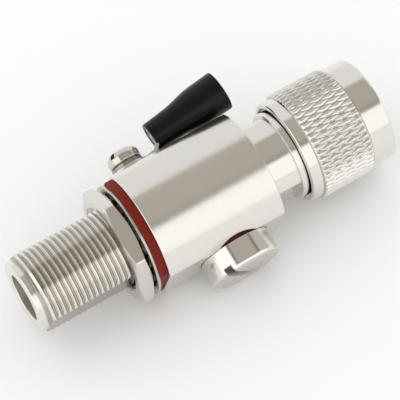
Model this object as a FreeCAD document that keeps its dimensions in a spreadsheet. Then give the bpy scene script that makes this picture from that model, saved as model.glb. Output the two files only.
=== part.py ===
import FreeCAD, Part
import math
import os
import re
import Sketcher

# Coax lightning arrestor, panel-mounted, with a female thread end and a coupling nut end.
# Millimetres. Main axis along X, origin on it at the panel face of the body.
# Every piece is drawn upright, earth screw toward +Z and gas tube cap toward -Z,
# and is then rolled about X so that the object lies on the body's side and the cap's rim.

SIZES = {
    # Body block between the panel face and the neck
    "body_radius": 11.615,
    "body_length": 23.3,
    "body_half_flats": 10.22,
    "body_edge": 0.25,
    # Threaded barrel with its two flats and the smooth pilot in front
    "barrel_radius": 7.9375,
    "barrel_length": 22.65,
    "barrel_half_flats": 6.63,
    "pilot_radius": 6.65,
    "pilot_length": 1.2,
    "pilot_round": 0.4,
    "lead_radius": 7.2,
    "lead_length": 0.95,
    # Bores through the body
    "mouth_radius": 4.3,
    "mouth_depth": 4.25,
    "mouth_bevel": 0.4,
    "seat_radius": 4.1,
    "seat_depth": 9.1,
    "line_radius": 3.5,
    "chamber_radius": 4.2,
    "chamber_start": 6.0,
    "spigot_radius": 6.0,
    "spigot_length": 3.7,
    # Port for the gas tube, under the body
    "port_x": 13.6,
    "port_thread_radius": 5.6,
    "port_thread_depth": 4.7,
    "seal_seat_radius": 6.7,
    "seal_seat_depth": 0.82,
    # Tapped hole for the earth screw, on top of the body
    "earth_x": 5.1,
    "earth_hole_radius": 1.5,
    "earth_hole_depth": 5.2,
    # Neck that carries the coupling nut
    "neck_radius": 7.84,
    "neck_half_flats": 6.68,
    "neck_length": 5.7,
    "collar_radius": 8.35,
    "collar_length": 7.0,
    "collar_edge": 0.3,
    "ring_groove_from_nut_rear": 2.7,
    "ring_groove_radius": 7.7,
    # Coupling nut
    "nut_setback": 1.3,
    "nut_length": 17.3,
    "nut_band_radius": 9.73,
    "nut_rear_band": 2.05,
    "nut_front_band": 4.6,
    "nut_knurl_radius": 10.27,
    "nut_bevel": 0.55,
    "nut_round": 0.5,
    "nut_mouth_radius": 8.85,
    "nut_mouth_depth": 1.2,
    "nut_shoulder_gap": 0.3,
    "nut_thread_radius": 7.45,
    "nut_thread_bevel": 0.5,
    "nut_groove_radius": 8.95,
    # Snap ring
    "snap_ring_width": 1.0,
    "snap_ring_inner_radius": 7.85,
    "snap_ring_outer_radius": 8.86,
    "snap_ring_gap_angle": 34.0,
    # Outer contact of the plug end
    "ferrule_radius": 4.05,
    "ferrule_tip_from_nut_end": 1.0,
    "ferrule_base_radius": 4.7,
    "ferrule_base_length": 4.9,
    "ferrule_slot_width": 0.5,
    "ferrule_slot_length": 4.5,
    "ferrule_tip_bevel": 0.25,
    "ferrule_undercut": 0.2,
    # Face gasket inside the coupling nut
    "face_gasket_thickness": 1.0,
    "face_gasket_radius": 6.6,
    # Centre line
    "conductor_radius": 1.52,
    "conductor_start": -6.0,
    "conductor_short_of_collar": 2.0,
    "conductor_flat": 1.2,
    "conductor_flat_length": 9.0,
    "spigot_pin_radius": 0.8,
    "spigot_pin_length": 3.0,
    "plug_pin_radius": 0.82,
    "plug_pin_length": 5.6,
    "plug_pin_from_nut_end": 0.8,
    "plug_pin_taper": 0.9,
    "socket_inset": 0.1,
    "socket_bore_radius": 0.87,
    "socket_bore_depth": 5.6,
    "socket_slot_width": 0.35,
    "socket_slot_length": 4.6,
    # Insulating beads
    "front_bead_inset": 0.55,
    "front_bead_length": 4.5,
    "rear_bead_inset": 2.7,
    "rear_bead_length": 4.6,
    # Panel nut, tooth washer and gasket on the barrel
    "hex_across_flats": 19.05,
    "hex_thickness": 2.8,
    "hex_turn": 25.2,
    "hex_crown_radius": 9.42,
    "hex_crown_drop": 0.65,
    "hex_bore_bevel": 0.3,
    "washer_overhang": 0.975,
    "washer_thickness": 0.55,
    "washer_rim_width": 1.35,
    "washer_tooth_reach": 1.0,
    "washer_tooth_width": 1.7,
    "washer_tooth_twist": 12.6,
    "washer_tooth_count": 16,
    "washer_gap": 0.4,
    "gasket_thickness": 1.4,
    "gasket_overhang": 0.2,
    "gasket_half_flats": 9.6,
    # Cap over the gas tube
    "cap_radius": 6.6,
    "cap_height": 4.75,
    "cap_round": 0.8,
    "cap_dome": 0.35,
    "cap_slot_width": 1.65,
    "cap_slot_floor": 3.28,
    "cap_slot_turn": 51.0,
    "cap_thread_radius": 5.5,
    "cap_thread_length": 4.47,
    "cap_cavity_radius": 4.15,
    "cap_cavity_depth": 1.78,
    "cap_thread_bevel": 0.3,
    # O-ring under the cap
    "cap_seal_radius": 6.1,
    "cap_seal_section": 0.39,
    # Gas tube
    "tube_radius": 4.0,
    "tube_electrode_radius": 3.9,
    "tube_electrode_thickness": 1.0,
    "tube_nipple_radius": 2.2,
    "tube_nipple_height": 1.2,
    "tube_ceramic_height": 4.0,
    "tube_ceramic_bore": 2.9,
    # Spring under the gas tube
    "spring_radius": 3.0,
    "spring_wire": 0.35,
    "spring_turns": 3.0,
    # Earth screw and its spring washer
    "screw_head_radius": 3.05,
    "screw_rim_height": 1.25,
    "screw_dome_height": 1.4,
    "screw_dome_radius": 1.55,
    "screw_shank_radius": 1.45,
    "screw_length": 6.0,
    "screw_cross_width": 0.8,
    "screw_cross_span": 3.9,
    "screw_cross_depth": 1.7,
    "screw_cross_turn": 44.0,
    "lock_ring_radius": 3.03,
    "lock_ring_bore": 1.6,
    "lock_ring_thickness": 0.93,
    "lock_ring_gap": 0.5,
    "lock_ring_turn": 20.0,
    # Ring lug: one folded sheet with a crimp barrel, swivelled about the screw
    "lug_swivel": 6.5,
    "lug_sheet": 0.85,
    "lug_ring_radius": 3.7,
    "lug_hole_radius": 1.6,
    "lug_tongue_half_width": 2.0,
    "lug_tongue_start": 3.0,
    "lug_slope_start": 3.9,
    "lug_bend_start": 5.5,
    "lug_slope_rise": 0.26,
    "lug_bend_run": 0.75,
    "lug_tongue_end": 6.4,
    "lug_barrel_radius": 2.2,
    "lug_barrel_bore": 1.5,
    "lug_barrel_length": 7.0,
    "lug_barrel_lead": 0.3,
    # Sleeve over the crimp barrel
    "sleeve_start": 6.45,
    "sleeve_axis_height": 3.58,
    "sleeve_rise": 4.76,
    "sleeve_length": 14.5,
    "sleeve_front_radius": 2.7,
    "sleeve_waist_radius": 2.95,
    "sleeve_rear_radius": 3.75,
    "sleeve_waist_at": 5.0,
    "sleeve_flare_at": 9.0,
    "sleeve_wall": 0.75,
    # Clearances
    "thread_gap": 0.03,
    "press_gap": 0.02,
    "running_gap": 0.08,
    "groove_side_gap": 0.1,
}

doc = FreeCAD.newDocument("coax_lightning_arrestor")
sheet = doc.addObject("Spreadsheet::Sheet", "dims")
for row, (name, value) in enumerate(SIZES.items(), start=1):
    sheet.set(f"A{row}", name)
    sheet.set(f"B{row}", str(value))
    sheet.setAlias(f"B{row}", name)

# How the object lies: the body's side and the cap's rim touch one level.
ROLL_ROW = len(SIZES) + 1
RIM_REACH = "(body_half_flats + cap_height - cap_round)"
SIDE = "(body_radius - cap_round)"
RIM = "(cap_radius - cap_round)"


def linked(words):
    """Put the sheet's name before each size named in an expression."""
    return re.sub("|".join(rf"\b{name}\b" for name in SIZES), r"dims.\g<0>", words)


doc.recompute()
RIM_DISTANCE = f"sqrt({RIM} * {RIM} + {RIM_REACH} * {RIM_REACH})"
ROLL = f"asin({SIDE} / {RIM_DISTANCE}) - atan({RIM} / {RIM_REACH}) - 90 deg"
sheet.set(f"A{ROLL_ROW}", "roll")
sheet.set(f"B{ROLL_ROW}", "=" + ROLL)
sheet.setAlias(f"B{ROLL_ROW}", "roll")
doc.recompute()


# Places that several pieces share
COLLAR_START = "(body_length + neck_length)"
COLLAR_END = "(body_length + neck_length + collar_length)"
NUT_REAR = "(body_length + neck_length + nut_setback)"
NUT_FRONT = "(body_length + neck_length + nut_setback + nut_length)"
RING_GROOVE = f"({NUT_REAR} + ring_groove_from_nut_rear)"
RING_GROOVE_END = f"({RING_GROOVE} + snap_ring_width + 2 * groove_side_gap)"
CONDUCTOR_END = f"({COLLAR_END} - conductor_short_of_collar)"
PIN_TIP = f"({NUT_FRONT} - plug_pin_from_nut_end)"
SOCKET_FRONT = "(mouth_depth + socket_inset - barrel_length)"
HEX_CORNER = "(hex_across_flats / (2 * cos(30 deg)))"
WASHER_RADIUS = "(hex_across_flats / 2 + washer_overhang)"
GASKET_RADIUS = f"({HEX_CORNER} + gasket_overhang)"


def new_body(label):
    """Start a piece, rolled about X as the object lies."""
    body = doc.addObject("PartDesign::Body", label)
    body.Placement.Rotation = FreeCAD.Rotation(FreeCAD.Vector(1, 0, 0), float(sheet.roll))
    body.setExpression("Placement.Rotation.Angle", "dims.roll")
    return body


def origin_part(body, role):
    """Give one plane or axis of the body's own origin."""
    return next(item for item in body.Origin.OriginFeatures if item.Role == role)


def new_sketch(body, name, plane, move=(None, None, None), turn=None):
    """Start a sketch on an origin plane, moved and turned by sizes of the sheet."""
    sketch = body.newObject("Sketcher::SketchObject", name)
    sketch.AttachmentSupport = [(origin_part(body, plane), "")]
    sketch.MapMode = "FlatFace"
    if turn is not None:
        angle = float(sketch.evalExpression(linked(turn)))
        sketch.AttachmentOffset = FreeCAD.Placement(
            FreeCAD.Vector(0, 0, 0), FreeCAD.Rotation(FreeCAD.Vector(0, 0, 1), angle)
        )
        sketch.setExpression("AttachmentOffset.Rotation.Angle", linked(turn))
    for axis, words in zip("xyz", move):
        if words is not None:
            sketch.setExpression(f"AttachmentOffset.Base.{axis}", linked(words))
    return sketch


def pin_point(sketch, geometry, end, x_words, y_words):
    """Tie a point of the sketch to two expressions."""
    for kind, words in (("DistanceX", x_words), ("DistanceY", y_words)):
        value = float(sketch.evalExpression(linked(words)))
        index = sketch.addConstraint(Sketcher.Constraint(kind, -1, 1, geometry, end, value))
        sketch.setExpression(f"Constraints[{index}]", linked(words))


def outline(sketch, points):
    """Draw a closed outline. A third entry rounds that square corner with a pair of bevels."""
    count = len(points)
    spots = [tuple(float(sketch.evalExpression(linked(w))) for w in p[:2]) for p in points]
    path = []
    for i, point in enumerate(points):
        if len(point) == 2:
            path.append(point)
            continue
        steps = []
        for other in (spots[i - 1], spots[(i + 1) % count]):
            dx = other[0] - spots[i][0]
            dy = other[1] - spots[i][1]
            steps.append((1 if dx > 0 else -1, 0) if abs(dx) > abs(dy) else (0, 1 if dy > 0 else -1))
        shares = ((1, 0), (1 - math.sqrt(0.5), 1 - math.sqrt(0.5)), (0, 1))
        for before, after in shares:
            shift = [before * steps[0][k] + after * steps[1][k] for k in (0, 1)]
            path.append(tuple(f"{point[k]} + {shift[k]:.6f} * {point[2]}" for k in (0, 1)))
    places = [FreeCAD.Vector(*(float(sketch.evalExpression(linked(w))) for w in p), 0) for p in path]
    start = len(sketch.Geometry)
    count = len(path)
    for i in range(count):
        sketch.addGeometry(Part.LineSegment(places[i], places[(i + 1) % count]), False)
    for i in range(count):
        sketch.addConstraint(Sketcher.Constraint("Coincident", start + i, 2, start + (i + 1) % count, 1))
    for i in range(count):
        pin_point(sketch, start + i, 1, path[i][0], path[i][1])
    return sketch


def circle_in(sketch, x_words, y_words, radius_words):
    """Draw a circle tied to its centre and radius."""
    x, y, r = (float(sketch.evalExpression(linked(w))) for w in (x_words, y_words, radius_words))
    index = sketch.addGeometry(Part.Circle(FreeCAD.Vector(x, y, 0), FreeCAD.Vector(0, 0, 1), r), False)
    pin_point(sketch, index, 3, x_words, y_words)
    number = sketch.addConstraint(Sketcher.Constraint("Radius", index, r))
    sketch.setExpression(f"Constraints[{number}]", linked(radius_words))


def feature(body, kind, name, sketch, **settings):
    """Add a sketch-based feature to the body."""
    item = body.newObject("PartDesign::" + kind, name)
    item.Profile = (sketch, [""])
    for key, value in settings.items():
        if isinstance(value, str) and key in ("Length", "Angle", "Height", "Pitch"):
            item.setExpression(key, linked(value))
        else:
            setattr(item, key, value)
    return item


def turned(body, name, points, kind="Revolution", axis="H_Axis", move=(None, None, None), turn=None):
    """Turn an outline drawn in the upright plane about one axis of its sketch."""
    sketch = new_sketch(body, name + "_outline", "XZ_Plane", move, turn)
    outline(sketch, points)
    return feature(body, kind, name, sketch, ReferenceAxis=(sketch, [axis]), Angle="360 deg")


def side_flats(body, name, start, end, half_width, reach):
    """Cut two flats, above and below, between two places on the axis."""
    sketch = new_sketch(body, name + "_outline", "XZ_Plane")
    outline(sketch, [(start, half_width), (end, half_width), (end, reach), (start, reach)])
    below, lowest = f"-({half_width})", f"-({reach})"
    outline(sketch, [(start, below), (start, lowest), (end, lowest), (end, below)])
    feature(body, "Pocket", name, sketch, Type="ThroughAll", Midplane=True)


def upright_sketch(body, name, x_words, turn_words):
    """Start a sketch on an upright plane turned about the vertical line at one place on the axis."""
    sketch = body.newObject("Sketcher::SketchObject", name)
    sketch.AttachmentSupport = [(origin_part(body, "XZ_Plane"), "")]
    sketch.MapMode = "FlatFace"
    angle = float(sketch.evalExpression(linked(turn_words)))
    turned_about = FreeCAD.Rotation(FreeCAD.Vector(0, 1, 0), angle)
    sketch.AttachmentOffset = FreeCAD.Placement(FreeCAD.Vector(0, 0, 0), turned_about)
    sketch.setExpression("AttachmentOffset.Base.x", linked(x_words))
    sketch.setExpression("AttachmentOffset.Rotation.Angle", linked(turn_words))
    return sketch


def cross_slots(body, name, start, end, width):
    """Saw one slot through both walls, then copy it across, for four spring fingers."""
    half = f"{width} / 2"
    for slot, plane in ((name, "XZ_Plane"), (name + "_across", "XY_Plane")):
        sketch = new_sketch(body, slot + "_outline", plane)
        outline(sketch, [(start, f"-{half}"), (end, f"-{half}"), (end, half), (start, half)])
        feature(body, "Pocket", slot, sketch, Type="ThroughAll", Midplane=True)


# Arrestor body: barrel, block, bores, gas tube port and tapped earth hole
def make_body():
    body = new_body("arrestor_body")
    tip = "-barrel_length"
    spigot_end = "body_length - spigot_length"
    turned(body, "turned_block", [
        (tip, "mouth_radius + mouth_bevel"),
        (tip, "pilot_radius", "pilot_round"),
        ("-barrel_length + pilot_length", "pilot_radius"),
        ("-barrel_length + pilot_length", "lead_radius"),
        ("-barrel_length + pilot_length + lead_length", "barrel_radius"),
        ("0", "barrel_radius"),
        ("0", "body_radius - body_edge"),
        ("body_edge", "body_radius"),
        ("body_length - body_edge", "body_radius"),
        ("body_length", "body_radius - body_edge"),
        ("body_length", "spigot_radius + thread_gap"),
        (spigot_end, "spigot_radius + thread_gap"),
        (spigot_end, "chamber_radius"),
        ("chamber_start", "chamber_radius"),
        ("chamber_start", "line_radius"),
        ("-barrel_length + seat_depth", "line_radius"),
        ("-barrel_length + seat_depth", "seat_radius"),
        ("-barrel_length + mouth_depth", "seat_radius"),
        ("-barrel_length + mouth_depth", "mouth_radius"),
        ("-barrel_length + mouth_bevel", "mouth_radius"),
    ])
    thread_start = "-barrel_length + pilot_length"
    side_flats(body, "barrel_flats", thread_start, "0", "barrel_half_flats", "barrel_radius * 1.2")
    side_flats(body, "body_flats", "0", "body_length", "body_half_flats", "body_radius * 1.2")
    turned(body, "gas_tube_port", [
        ("0", "-body_radius"),
        ("seal_seat_radius", "-body_radius"),
        ("seal_seat_radius", "-body_half_flats + seal_seat_depth"),
        ("port_thread_radius", "-body_half_flats + seal_seat_depth"),
        ("port_thread_radius", "-body_half_flats + port_thread_depth"),
        ("chamber_radius", "-body_half_flats + port_thread_depth"),
        ("chamber_radius", "0"),
        ("0", "0"),
    ], kind="Groove", axis="V_Axis", move=("port_x", None, None))
    turned(body, "earth_hole", [
        ("0", "body_radius"),
        ("earth_hole_radius", "body_radius"),
        ("earth_hole_radius", "body_half_flats - earth_hole_depth"),
        ("0", "body_half_flats - earth_hole_depth - earth_hole_radius * 0.5"),
    ], kind="Groove", axis="V_Axis", move=("earth_x", None, None))


# Neck: screwed into the body's rear, with wrench flats, a collar and the ring groove
def make_neck():
    body = new_body("plug_neck")
    start = "body_length - spigot_length + press_gap"
    base = f"{COLLAR_END} - ferrule_base_length - press_gap"
    turned(body, "turned_neck", [
        (start, "line_radius"),
        (start, "spigot_radius"),
        ("body_length", "spigot_radius"),
        ("body_length", "neck_radius"),
        (COLLAR_START, "neck_radius"),
        (COLLAR_START, "collar_radius - collar_edge"),
        (f"{COLLAR_START} + collar_edge", "collar_radius"),
        (RING_GROOVE, "collar_radius"),
        (RING_GROOVE, "ring_groove_radius"),
        (RING_GROOVE_END, "ring_groove_radius"),
        (RING_GROOVE_END, "collar_radius"),
        (COLLAR_END, "collar_radius"),
        (COLLAR_END, "ferrule_base_radius + press_gap"),
        (base, "ferrule_base_radius + press_gap"),
        (base, "line_radius"),
    ])
    side_flats(body, "wrench_flats", "body_length", COLLAR_START, "neck_half_flats", "neck_radius * 1.2")


# Coupling nut: rear band, grip, front band, threaded bore and ring groove
def make_coupling_nut():
    body = new_body("coupling_nut")
    grip_start = f"{NUT_REAR} + nut_rear_band"
    grip_end = f"{NUT_FRONT} - nut_front_band"
    shoulder = f"{COLLAR_END} + nut_shoulder_gap"
    turned(body, "turned_nut", [
        (NUT_REAR, "nut_mouth_radius"),
        (NUT_REAR, "nut_band_radius", "nut_round"),
        (grip_start, "nut_band_radius"),
        (f"{grip_start} + nut_bevel", "nut_knurl_radius"),
        (f"{grip_end} - nut_bevel", "nut_knurl_radius"),
        (grip_end, "nut_band_radius"),
        (NUT_FRONT, "nut_band_radius", "nut_round"),
        (NUT_FRONT, "nut_thread_radius + nut_thread_bevel"),
        (f"{NUT_FRONT} - nut_thread_bevel", "nut_thread_radius"),
        (shoulder, "nut_thread_radius"),
        (shoulder, "collar_radius + running_gap"),
        (RING_GROOVE_END, "collar_radius + running_gap"),
        (RING_GROOVE_END, "nut_groove_radius"),
        (RING_GROOVE, "nut_groove_radius"),
        (RING_GROOVE, "collar_radius + running_gap"),
        (f"{NUT_REAR} + nut_mouth_depth", "collar_radius + running_gap"),
        (f"{NUT_REAR} + nut_mouth_depth", "nut_mouth_radius"),
    ])


# Snap ring: an open flat ring that holds the nut on the collar
def make_snap_ring():
    body = new_body("snap_ring")
    start = f"{RING_GROOVE} + groove_side_gap"
    end = f"{start} + snap_ring_width"
    sketch = new_sketch(body, "ring_outline", "XZ_Plane")
    outline(sketch, [
        (start, "snap_ring_inner_radius"),
        (start, "snap_ring_outer_radius"),
        (end, "snap_ring_outer_radius"),
        (end, "snap_ring_inner_radius"),
    ])
    opened = "360 deg - snap_ring_gap_angle * 1 deg"
    feature(body, "Revolution", "open_ring", sketch, ReferenceAxis=(sketch, ["H_Axis"]), Angle=opened)


# Outer contact: a tube with a base in the collar and four spring fingers
def make_outer_contact():
    body = new_body("outer_contact")
    base_start = f"{COLLAR_END} - ferrule_base_length"
    tip = f"{NUT_FRONT} - ferrule_tip_from_nut_end"
    gasket_end = f"{COLLAR_END} + face_gasket_thickness"
    turned(body, "contact_tube", [
        (base_start, "line_radius"),
        (base_start, "ferrule_base_radius"),
        (COLLAR_END, "ferrule_base_radius"),
        (COLLAR_END, "ferrule_radius - ferrule_undercut"),
        (gasket_end, "ferrule_radius - ferrule_undercut"),
        (gasket_end, "ferrule_radius"),
        (f"{tip} - ferrule_tip_bevel", "ferrule_radius"),
        (tip, "ferrule_radius - ferrule_tip_bevel"),
        (tip, "line_radius"),
    ])
    cross_slots(body, "finger_slot", f"{tip} - ferrule_slot_length", f"{tip} + 1", "ferrule_slot_width")


# Face gasket in the undercut round the outer contact
def make_face_gasket():
    body = new_body("face_gasket")
    bore = "ferrule_radius - ferrule_undercut + press_gap"
    end = f"{COLLAR_END} + face_gasket_thickness"
    turned(body, "gasket_ring", [
        (COLLAR_END, bore),
        (COLLAR_END, "face_gasket_radius"),
        (end, "face_gasket_radius"),
        (end, bore),
    ])


# Centre conductor: a rod with holes in both ends and a flat where the gas tube touches
def make_conductor():
    body = new_body("centre_conductor")
    hole = "spigot_pin_radius + press_gap"
    front_floor = "conductor_start + spigot_pin_length + press_gap"
    rear_floor = f"{CONDUCTOR_END} - spigot_pin_length - press_gap"
    turned(body, "rod", [
        ("conductor_start", hole),
        ("conductor_start", "conductor_radius"),
        (CONDUCTOR_END, "conductor_radius"),
        (CONDUCTOR_END, hole),
        (rear_floor, hole),
        (rear_floor, "0"),
        (front_floor, "0"),
        (front_floor, hole),
    ])
    sketch = new_sketch(body, "flat_outline", "XZ_Plane")
    outline(sketch, [
        ("port_x - conductor_flat_length / 2", "-conductor_flat"),
        ("port_x - conductor_flat_length / 2", "-conductor_radius * 1.5"),
        ("port_x + conductor_flat_length / 2", "-conductor_radius * 1.5"),
        ("port_x + conductor_flat_length / 2", "-conductor_flat"),
    ])
    feature(body, "Pocket", "tube_flat", sketch, Type="ThroughAll", Midplane=True)


# Plug pin, pressed into the conductor's rear
def make_plug_pin():
    body = new_body("plug_pin")
    shoulder = f"{PIN_TIP} - plug_pin_length"
    turned(body, "pin", [
        (f"{CONDUCTOR_END} - spigot_pin_length", "0"),
        (f"{CONDUCTOR_END} - spigot_pin_length", "spigot_pin_radius"),
        (CONDUCTOR_END, "spigot_pin_radius"),
        (CONDUCTOR_END, "conductor_radius"),
        (shoulder, "conductor_radius"),
        (shoulder, "plug_pin_radius"),
        (f"{PIN_TIP} - plug_pin_taper", "plug_pin_radius"),
        (PIN_TIP, "plug_pin_radius * 0.4"),
        (PIN_TIP, "0"),
    ])


# Socket contact of the barrel end: four fingers round a bore
def make_socket_contact():
    body = new_body("socket_contact")
    turned(body, "socket", [
        (SOCKET_FRONT, "socket_bore_radius"),
        (SOCKET_FRONT, "conductor_radius"),
        ("conductor_start", "conductor_radius"),
        ("conductor_start", "spigot_pin_radius"),
        ("conductor_start + spigot_pin_length", "spigot_pin_radius"),
        ("conductor_start + spigot_pin_length", "0"),
        (f"{SOCKET_FRONT} + socket_bore_depth", "0"),
        (f"{SOCKET_FRONT} + socket_bore_depth", "socket_bore_radius"),
    ])
    slot_start = f"{SOCKET_FRONT} - 1"
    slot_end = f"{SOCKET_FRONT} + socket_slot_length"
    cross_slots(body, "socket_slot", slot_start, slot_end, "socket_slot_width")


# Insulating beads that hold the centre line in the bore
def make_bead(label, start, length):
    body = new_body(label)
    turned(body, "bead", [
        (start, "conductor_radius + press_gap"),
        (start, "line_radius - press_gap"),
        (f"{start} + {length}", "line_radius - press_gap"),
        (f"{start} + {length}", "conductor_radius + press_gap"),
    ])


# Panel gasket against the body: a disc with two flats, like the block behind it
def make_panel_gasket():
    body = new_body("panel_gasket")
    turned(body, "gasket_disc", [
        ("-gasket_thickness", "barrel_radius + thread_gap"),
        ("-gasket_thickness", GASKET_RADIUS),
        ("0", GASKET_RADIUS),
        ("0", "barrel_radius + thread_gap"),
    ])
    beyond = f"{GASKET_RADIUS} * 1.2"
    side_flats(body, "gasket_flats", "-gasket_thickness", "0", "gasket_half_flats", beyond)


# Tooth washer: a flat rim with twisted teeth that reach inward
def make_tooth_washer():
    body = new_body("tooth_washer")
    back = "-gasket_thickness"
    front = "-gasket_thickness - washer_thickness"
    rim_inner = f"{WASHER_RADIUS} - washer_rim_width"
    turned(body, "rim", [
        (back, rim_inner),
        (back, WASHER_RADIUS),
        (front, WASHER_RADIUS),
        (front, rim_inner),
    ])
    foot = f"{WASHER_RADIUS} - washer_rim_width - washer_tooth_reach"
    sketch = new_sketch(body, "tooth_outline", "XY_Plane", (None, None, foot))
    half = "washer_tooth_width / 2"
    lift = "washer_tooth_width * tan(washer_tooth_twist * 1 deg)"
    outline(sketch, [
        (back, half),
        (front, half),
        (f"{front} - {lift}", f"-{half}"),
        (f"{back} - {lift}", f"-{half}"),
    ])
    tooth = feature(body, "Pad", "tooth", sketch, Length="washer_tooth_reach + washer_rim_width / 4")
    pattern = body.newObject("PartDesign::PolarPattern", "tooth_ring")
    pattern.Originals = [tooth]
    pattern.Axis = (origin_part(body, "X_Axis"), [""])
    pattern.Angle = 360
    pattern.setExpression("Occurrences", linked("washer_tooth_count"))
    body.Tip = pattern


# Hex nut on the barrel, with both faces crowned
def make_hex_nut():
    body = new_body("hex_nut")
    back = "-gasket_thickness - washer_thickness - washer_gap"
    front = back + " - hex_thickness"
    sketch = new_sketch(body, "hex_outline", "YZ_Plane", (None, None, front))
    corners = []
    for step in range(6):
        angle = f"(90 - hex_turn + {60 * step}) * 1 deg"
        corners.append((f"{HEX_CORNER} * cos({angle})", f"{HEX_CORNER} * sin({angle})"))
    outline(sketch, corners)
    circle_in(sketch, "0", "0", "barrel_radius + thread_gap")
    feature(body, "Pad", "hexagon", sketch, Length="hex_thickness")
    crown_edge = f"{HEX_CORNER} * 1.1"
    crown_slope = f"hex_crown_drop / ({HEX_CORNER} - hex_crown_radius)"
    crown_drop = f"{crown_slope} * ({crown_edge} - hex_crown_radius)"
    crown = new_sketch(body, "crown_outline", "XZ_Plane")
    front_low = f"{front} + {crown_drop}"
    back_low = f"{back} - {crown_drop}"
    outline(crown, [(front, "hex_crown_radius"), (front, crown_edge), (front_low, crown_edge)])
    outline(crown, [(back, "hex_crown_radius"), (back_low, crown_edge), (back, crown_edge)])
    feature(body, "Groove", "crowns", crown, ReferenceAxis=(crown, ["H_Axis"]), Angle="360 deg")
    bevel = new_sketch(body, "bore_bevel_outline", "XZ_Plane")
    inner = "barrel_radius - thread_gap"
    outer = "barrel_radius + thread_gap + hex_bore_bevel"
    depth = "(hex_bore_bevel + 2 * thread_gap)"
    outline(bevel, [(front, inner), (front, outer), (f"{front} + {depth}", inner)])
    outline(bevel, [(back, inner), (f"{back} - {depth}", inner), (back, outer)])
    feature(body, "Groove", "bore_bevels", bevel, ReferenceAxis=(bevel, ["H_Axis"]), Angle="360 deg")


# Cap: hollow threaded plug with a rounded, slotted head
def make_cap():
    body = new_body("tube_cap")
    seat = "-body_half_flats"
    end = "-body_half_flats - cap_height"
    top = "-body_half_flats + cap_thread_length"
    floor = "-body_half_flats - cap_cavity_depth"
    turned(body, "turned_cap", [
        ("cap_cavity_radius", top),
        ("cap_thread_radius - cap_thread_bevel", top),
        ("cap_thread_radius", f"{top} - cap_thread_bevel"),
        ("cap_thread_radius", seat),
        ("cap_radius", seat),
        ("cap_radius", end, "cap_round"),
        ("cap_radius / 2", end + " - cap_dome * 0.75"),
        ("0", end + " - cap_dome"),
        ("0", floor),
        ("cap_cavity_radius", floor),
    ], axis="V_Axis", move=("port_x", None, None))
    sketch = upright_sketch(body, "slot_outline", "port_x", "90 - cap_slot_turn")
    depth = "-body_half_flats - cap_slot_floor"
    below = end + " - cap_dome - 1"
    half = "cap_slot_width / 2"
    outline(sketch, [(f"-{half}", depth), (f"-{half}", below), (half, below), (half, depth)])
    feature(body, "Pocket", "driver_slot", sketch, Type="ThroughAll", Midplane=True)


# O-ring between the cap and the body
def make_cap_seal():
    body = new_body("cap_seal")
    inner = "cap_seal_radius - cap_seal_section"
    outer = "cap_seal_radius + cap_seal_section"
    low = "-body_half_flats + seal_seat_depth / 2 - cap_seal_section"
    high = "-body_half_flats + seal_seat_depth / 2 + cap_seal_section"
    round_off = "cap_seal_section * 0.75"
    turned(body, "seal_ring", [
        (inner, high, round_off),
        (outer, high, round_off),
        (outer, low, round_off),
        (inner, low, round_off),
    ], axis="V_Axis", move=("port_x", None, None))


# Gas tube: a ceramic ring between two cupped electrodes
def make_gas_tube():
    top = "-conductor_flat - press_gap"
    upper = f"{top} - tube_electrode_thickness"
    lower = f"{upper} - tube_ceramic_height"
    bottom = f"{lower} - tube_electrode_thickness"
    where = ("port_x", None, None)
    ceramic = new_body("gas_tube_ceramic")
    turned(ceramic, "ceramic_ring", [
        ("tube_ceramic_bore", upper),
        ("tube_radius", upper),
        ("tube_radius", lower),
        ("tube_ceramic_bore", lower),
    ], axis="V_Axis", move=where)
    inner = new_body("gas_tube_line_electrode")
    turned(inner, "line_electrode", [
        ("0", top),
        ("tube_electrode_radius", top),
        ("tube_electrode_radius", upper),
        ("tube_nipple_radius", upper),
        ("tube_nipple_radius", f"{upper} - tube_nipple_height"),
        ("0", f"{upper} - tube_nipple_height"),
    ], axis="V_Axis", move=where)
    outer = new_body("gas_tube_earth_electrode")
    turned(outer, "earth_electrode", [
        ("0", bottom),
        ("tube_electrode_radius", bottom),
        ("tube_electrode_radius", lower),
        ("tube_nipple_radius", lower),
        ("tube_nipple_radius", f"{lower} + tube_nipple_height"),
        ("0", f"{lower} + tube_nipple_height"),
    ], axis="V_Axis", move=where)


# Spring that presses the gas tube against the conductor
def make_contact_spring():
    body = new_body("contact_spring")
    tube_bottom = "conductor_flat + press_gap + 2 * tube_electrode_thickness + tube_ceramic_height"
    cavity_floor = "body_half_flats + cap_cavity_depth"
    space = f"{cavity_floor} - ({tube_bottom}) - 2 * spring_wire - 2 * press_gap"
    sketch = new_sketch(body, "wire_outline", "XZ_Plane", ("port_x", None, None))
    foot = f"-({cavity_floor}) + press_gap"
    inner = "spring_radius - spring_wire"
    outer = "spring_radius + spring_wire"
    top = f"{foot} + 2 * spring_wire"
    outline(sketch, [(inner, foot), (inner, top), (outer, top), (outer, foot)])
    axis = (sketch, ["V_Axis"])
    coil = feature(body, "AdditiveHelix", "coil", sketch, ReferenceAxis=axis, Mode=0, LeftHanded=False)
    coil.setExpression("Height", linked(space))
    coil.setExpression("Pitch", linked(f"({space}) / spring_turns"))


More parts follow.
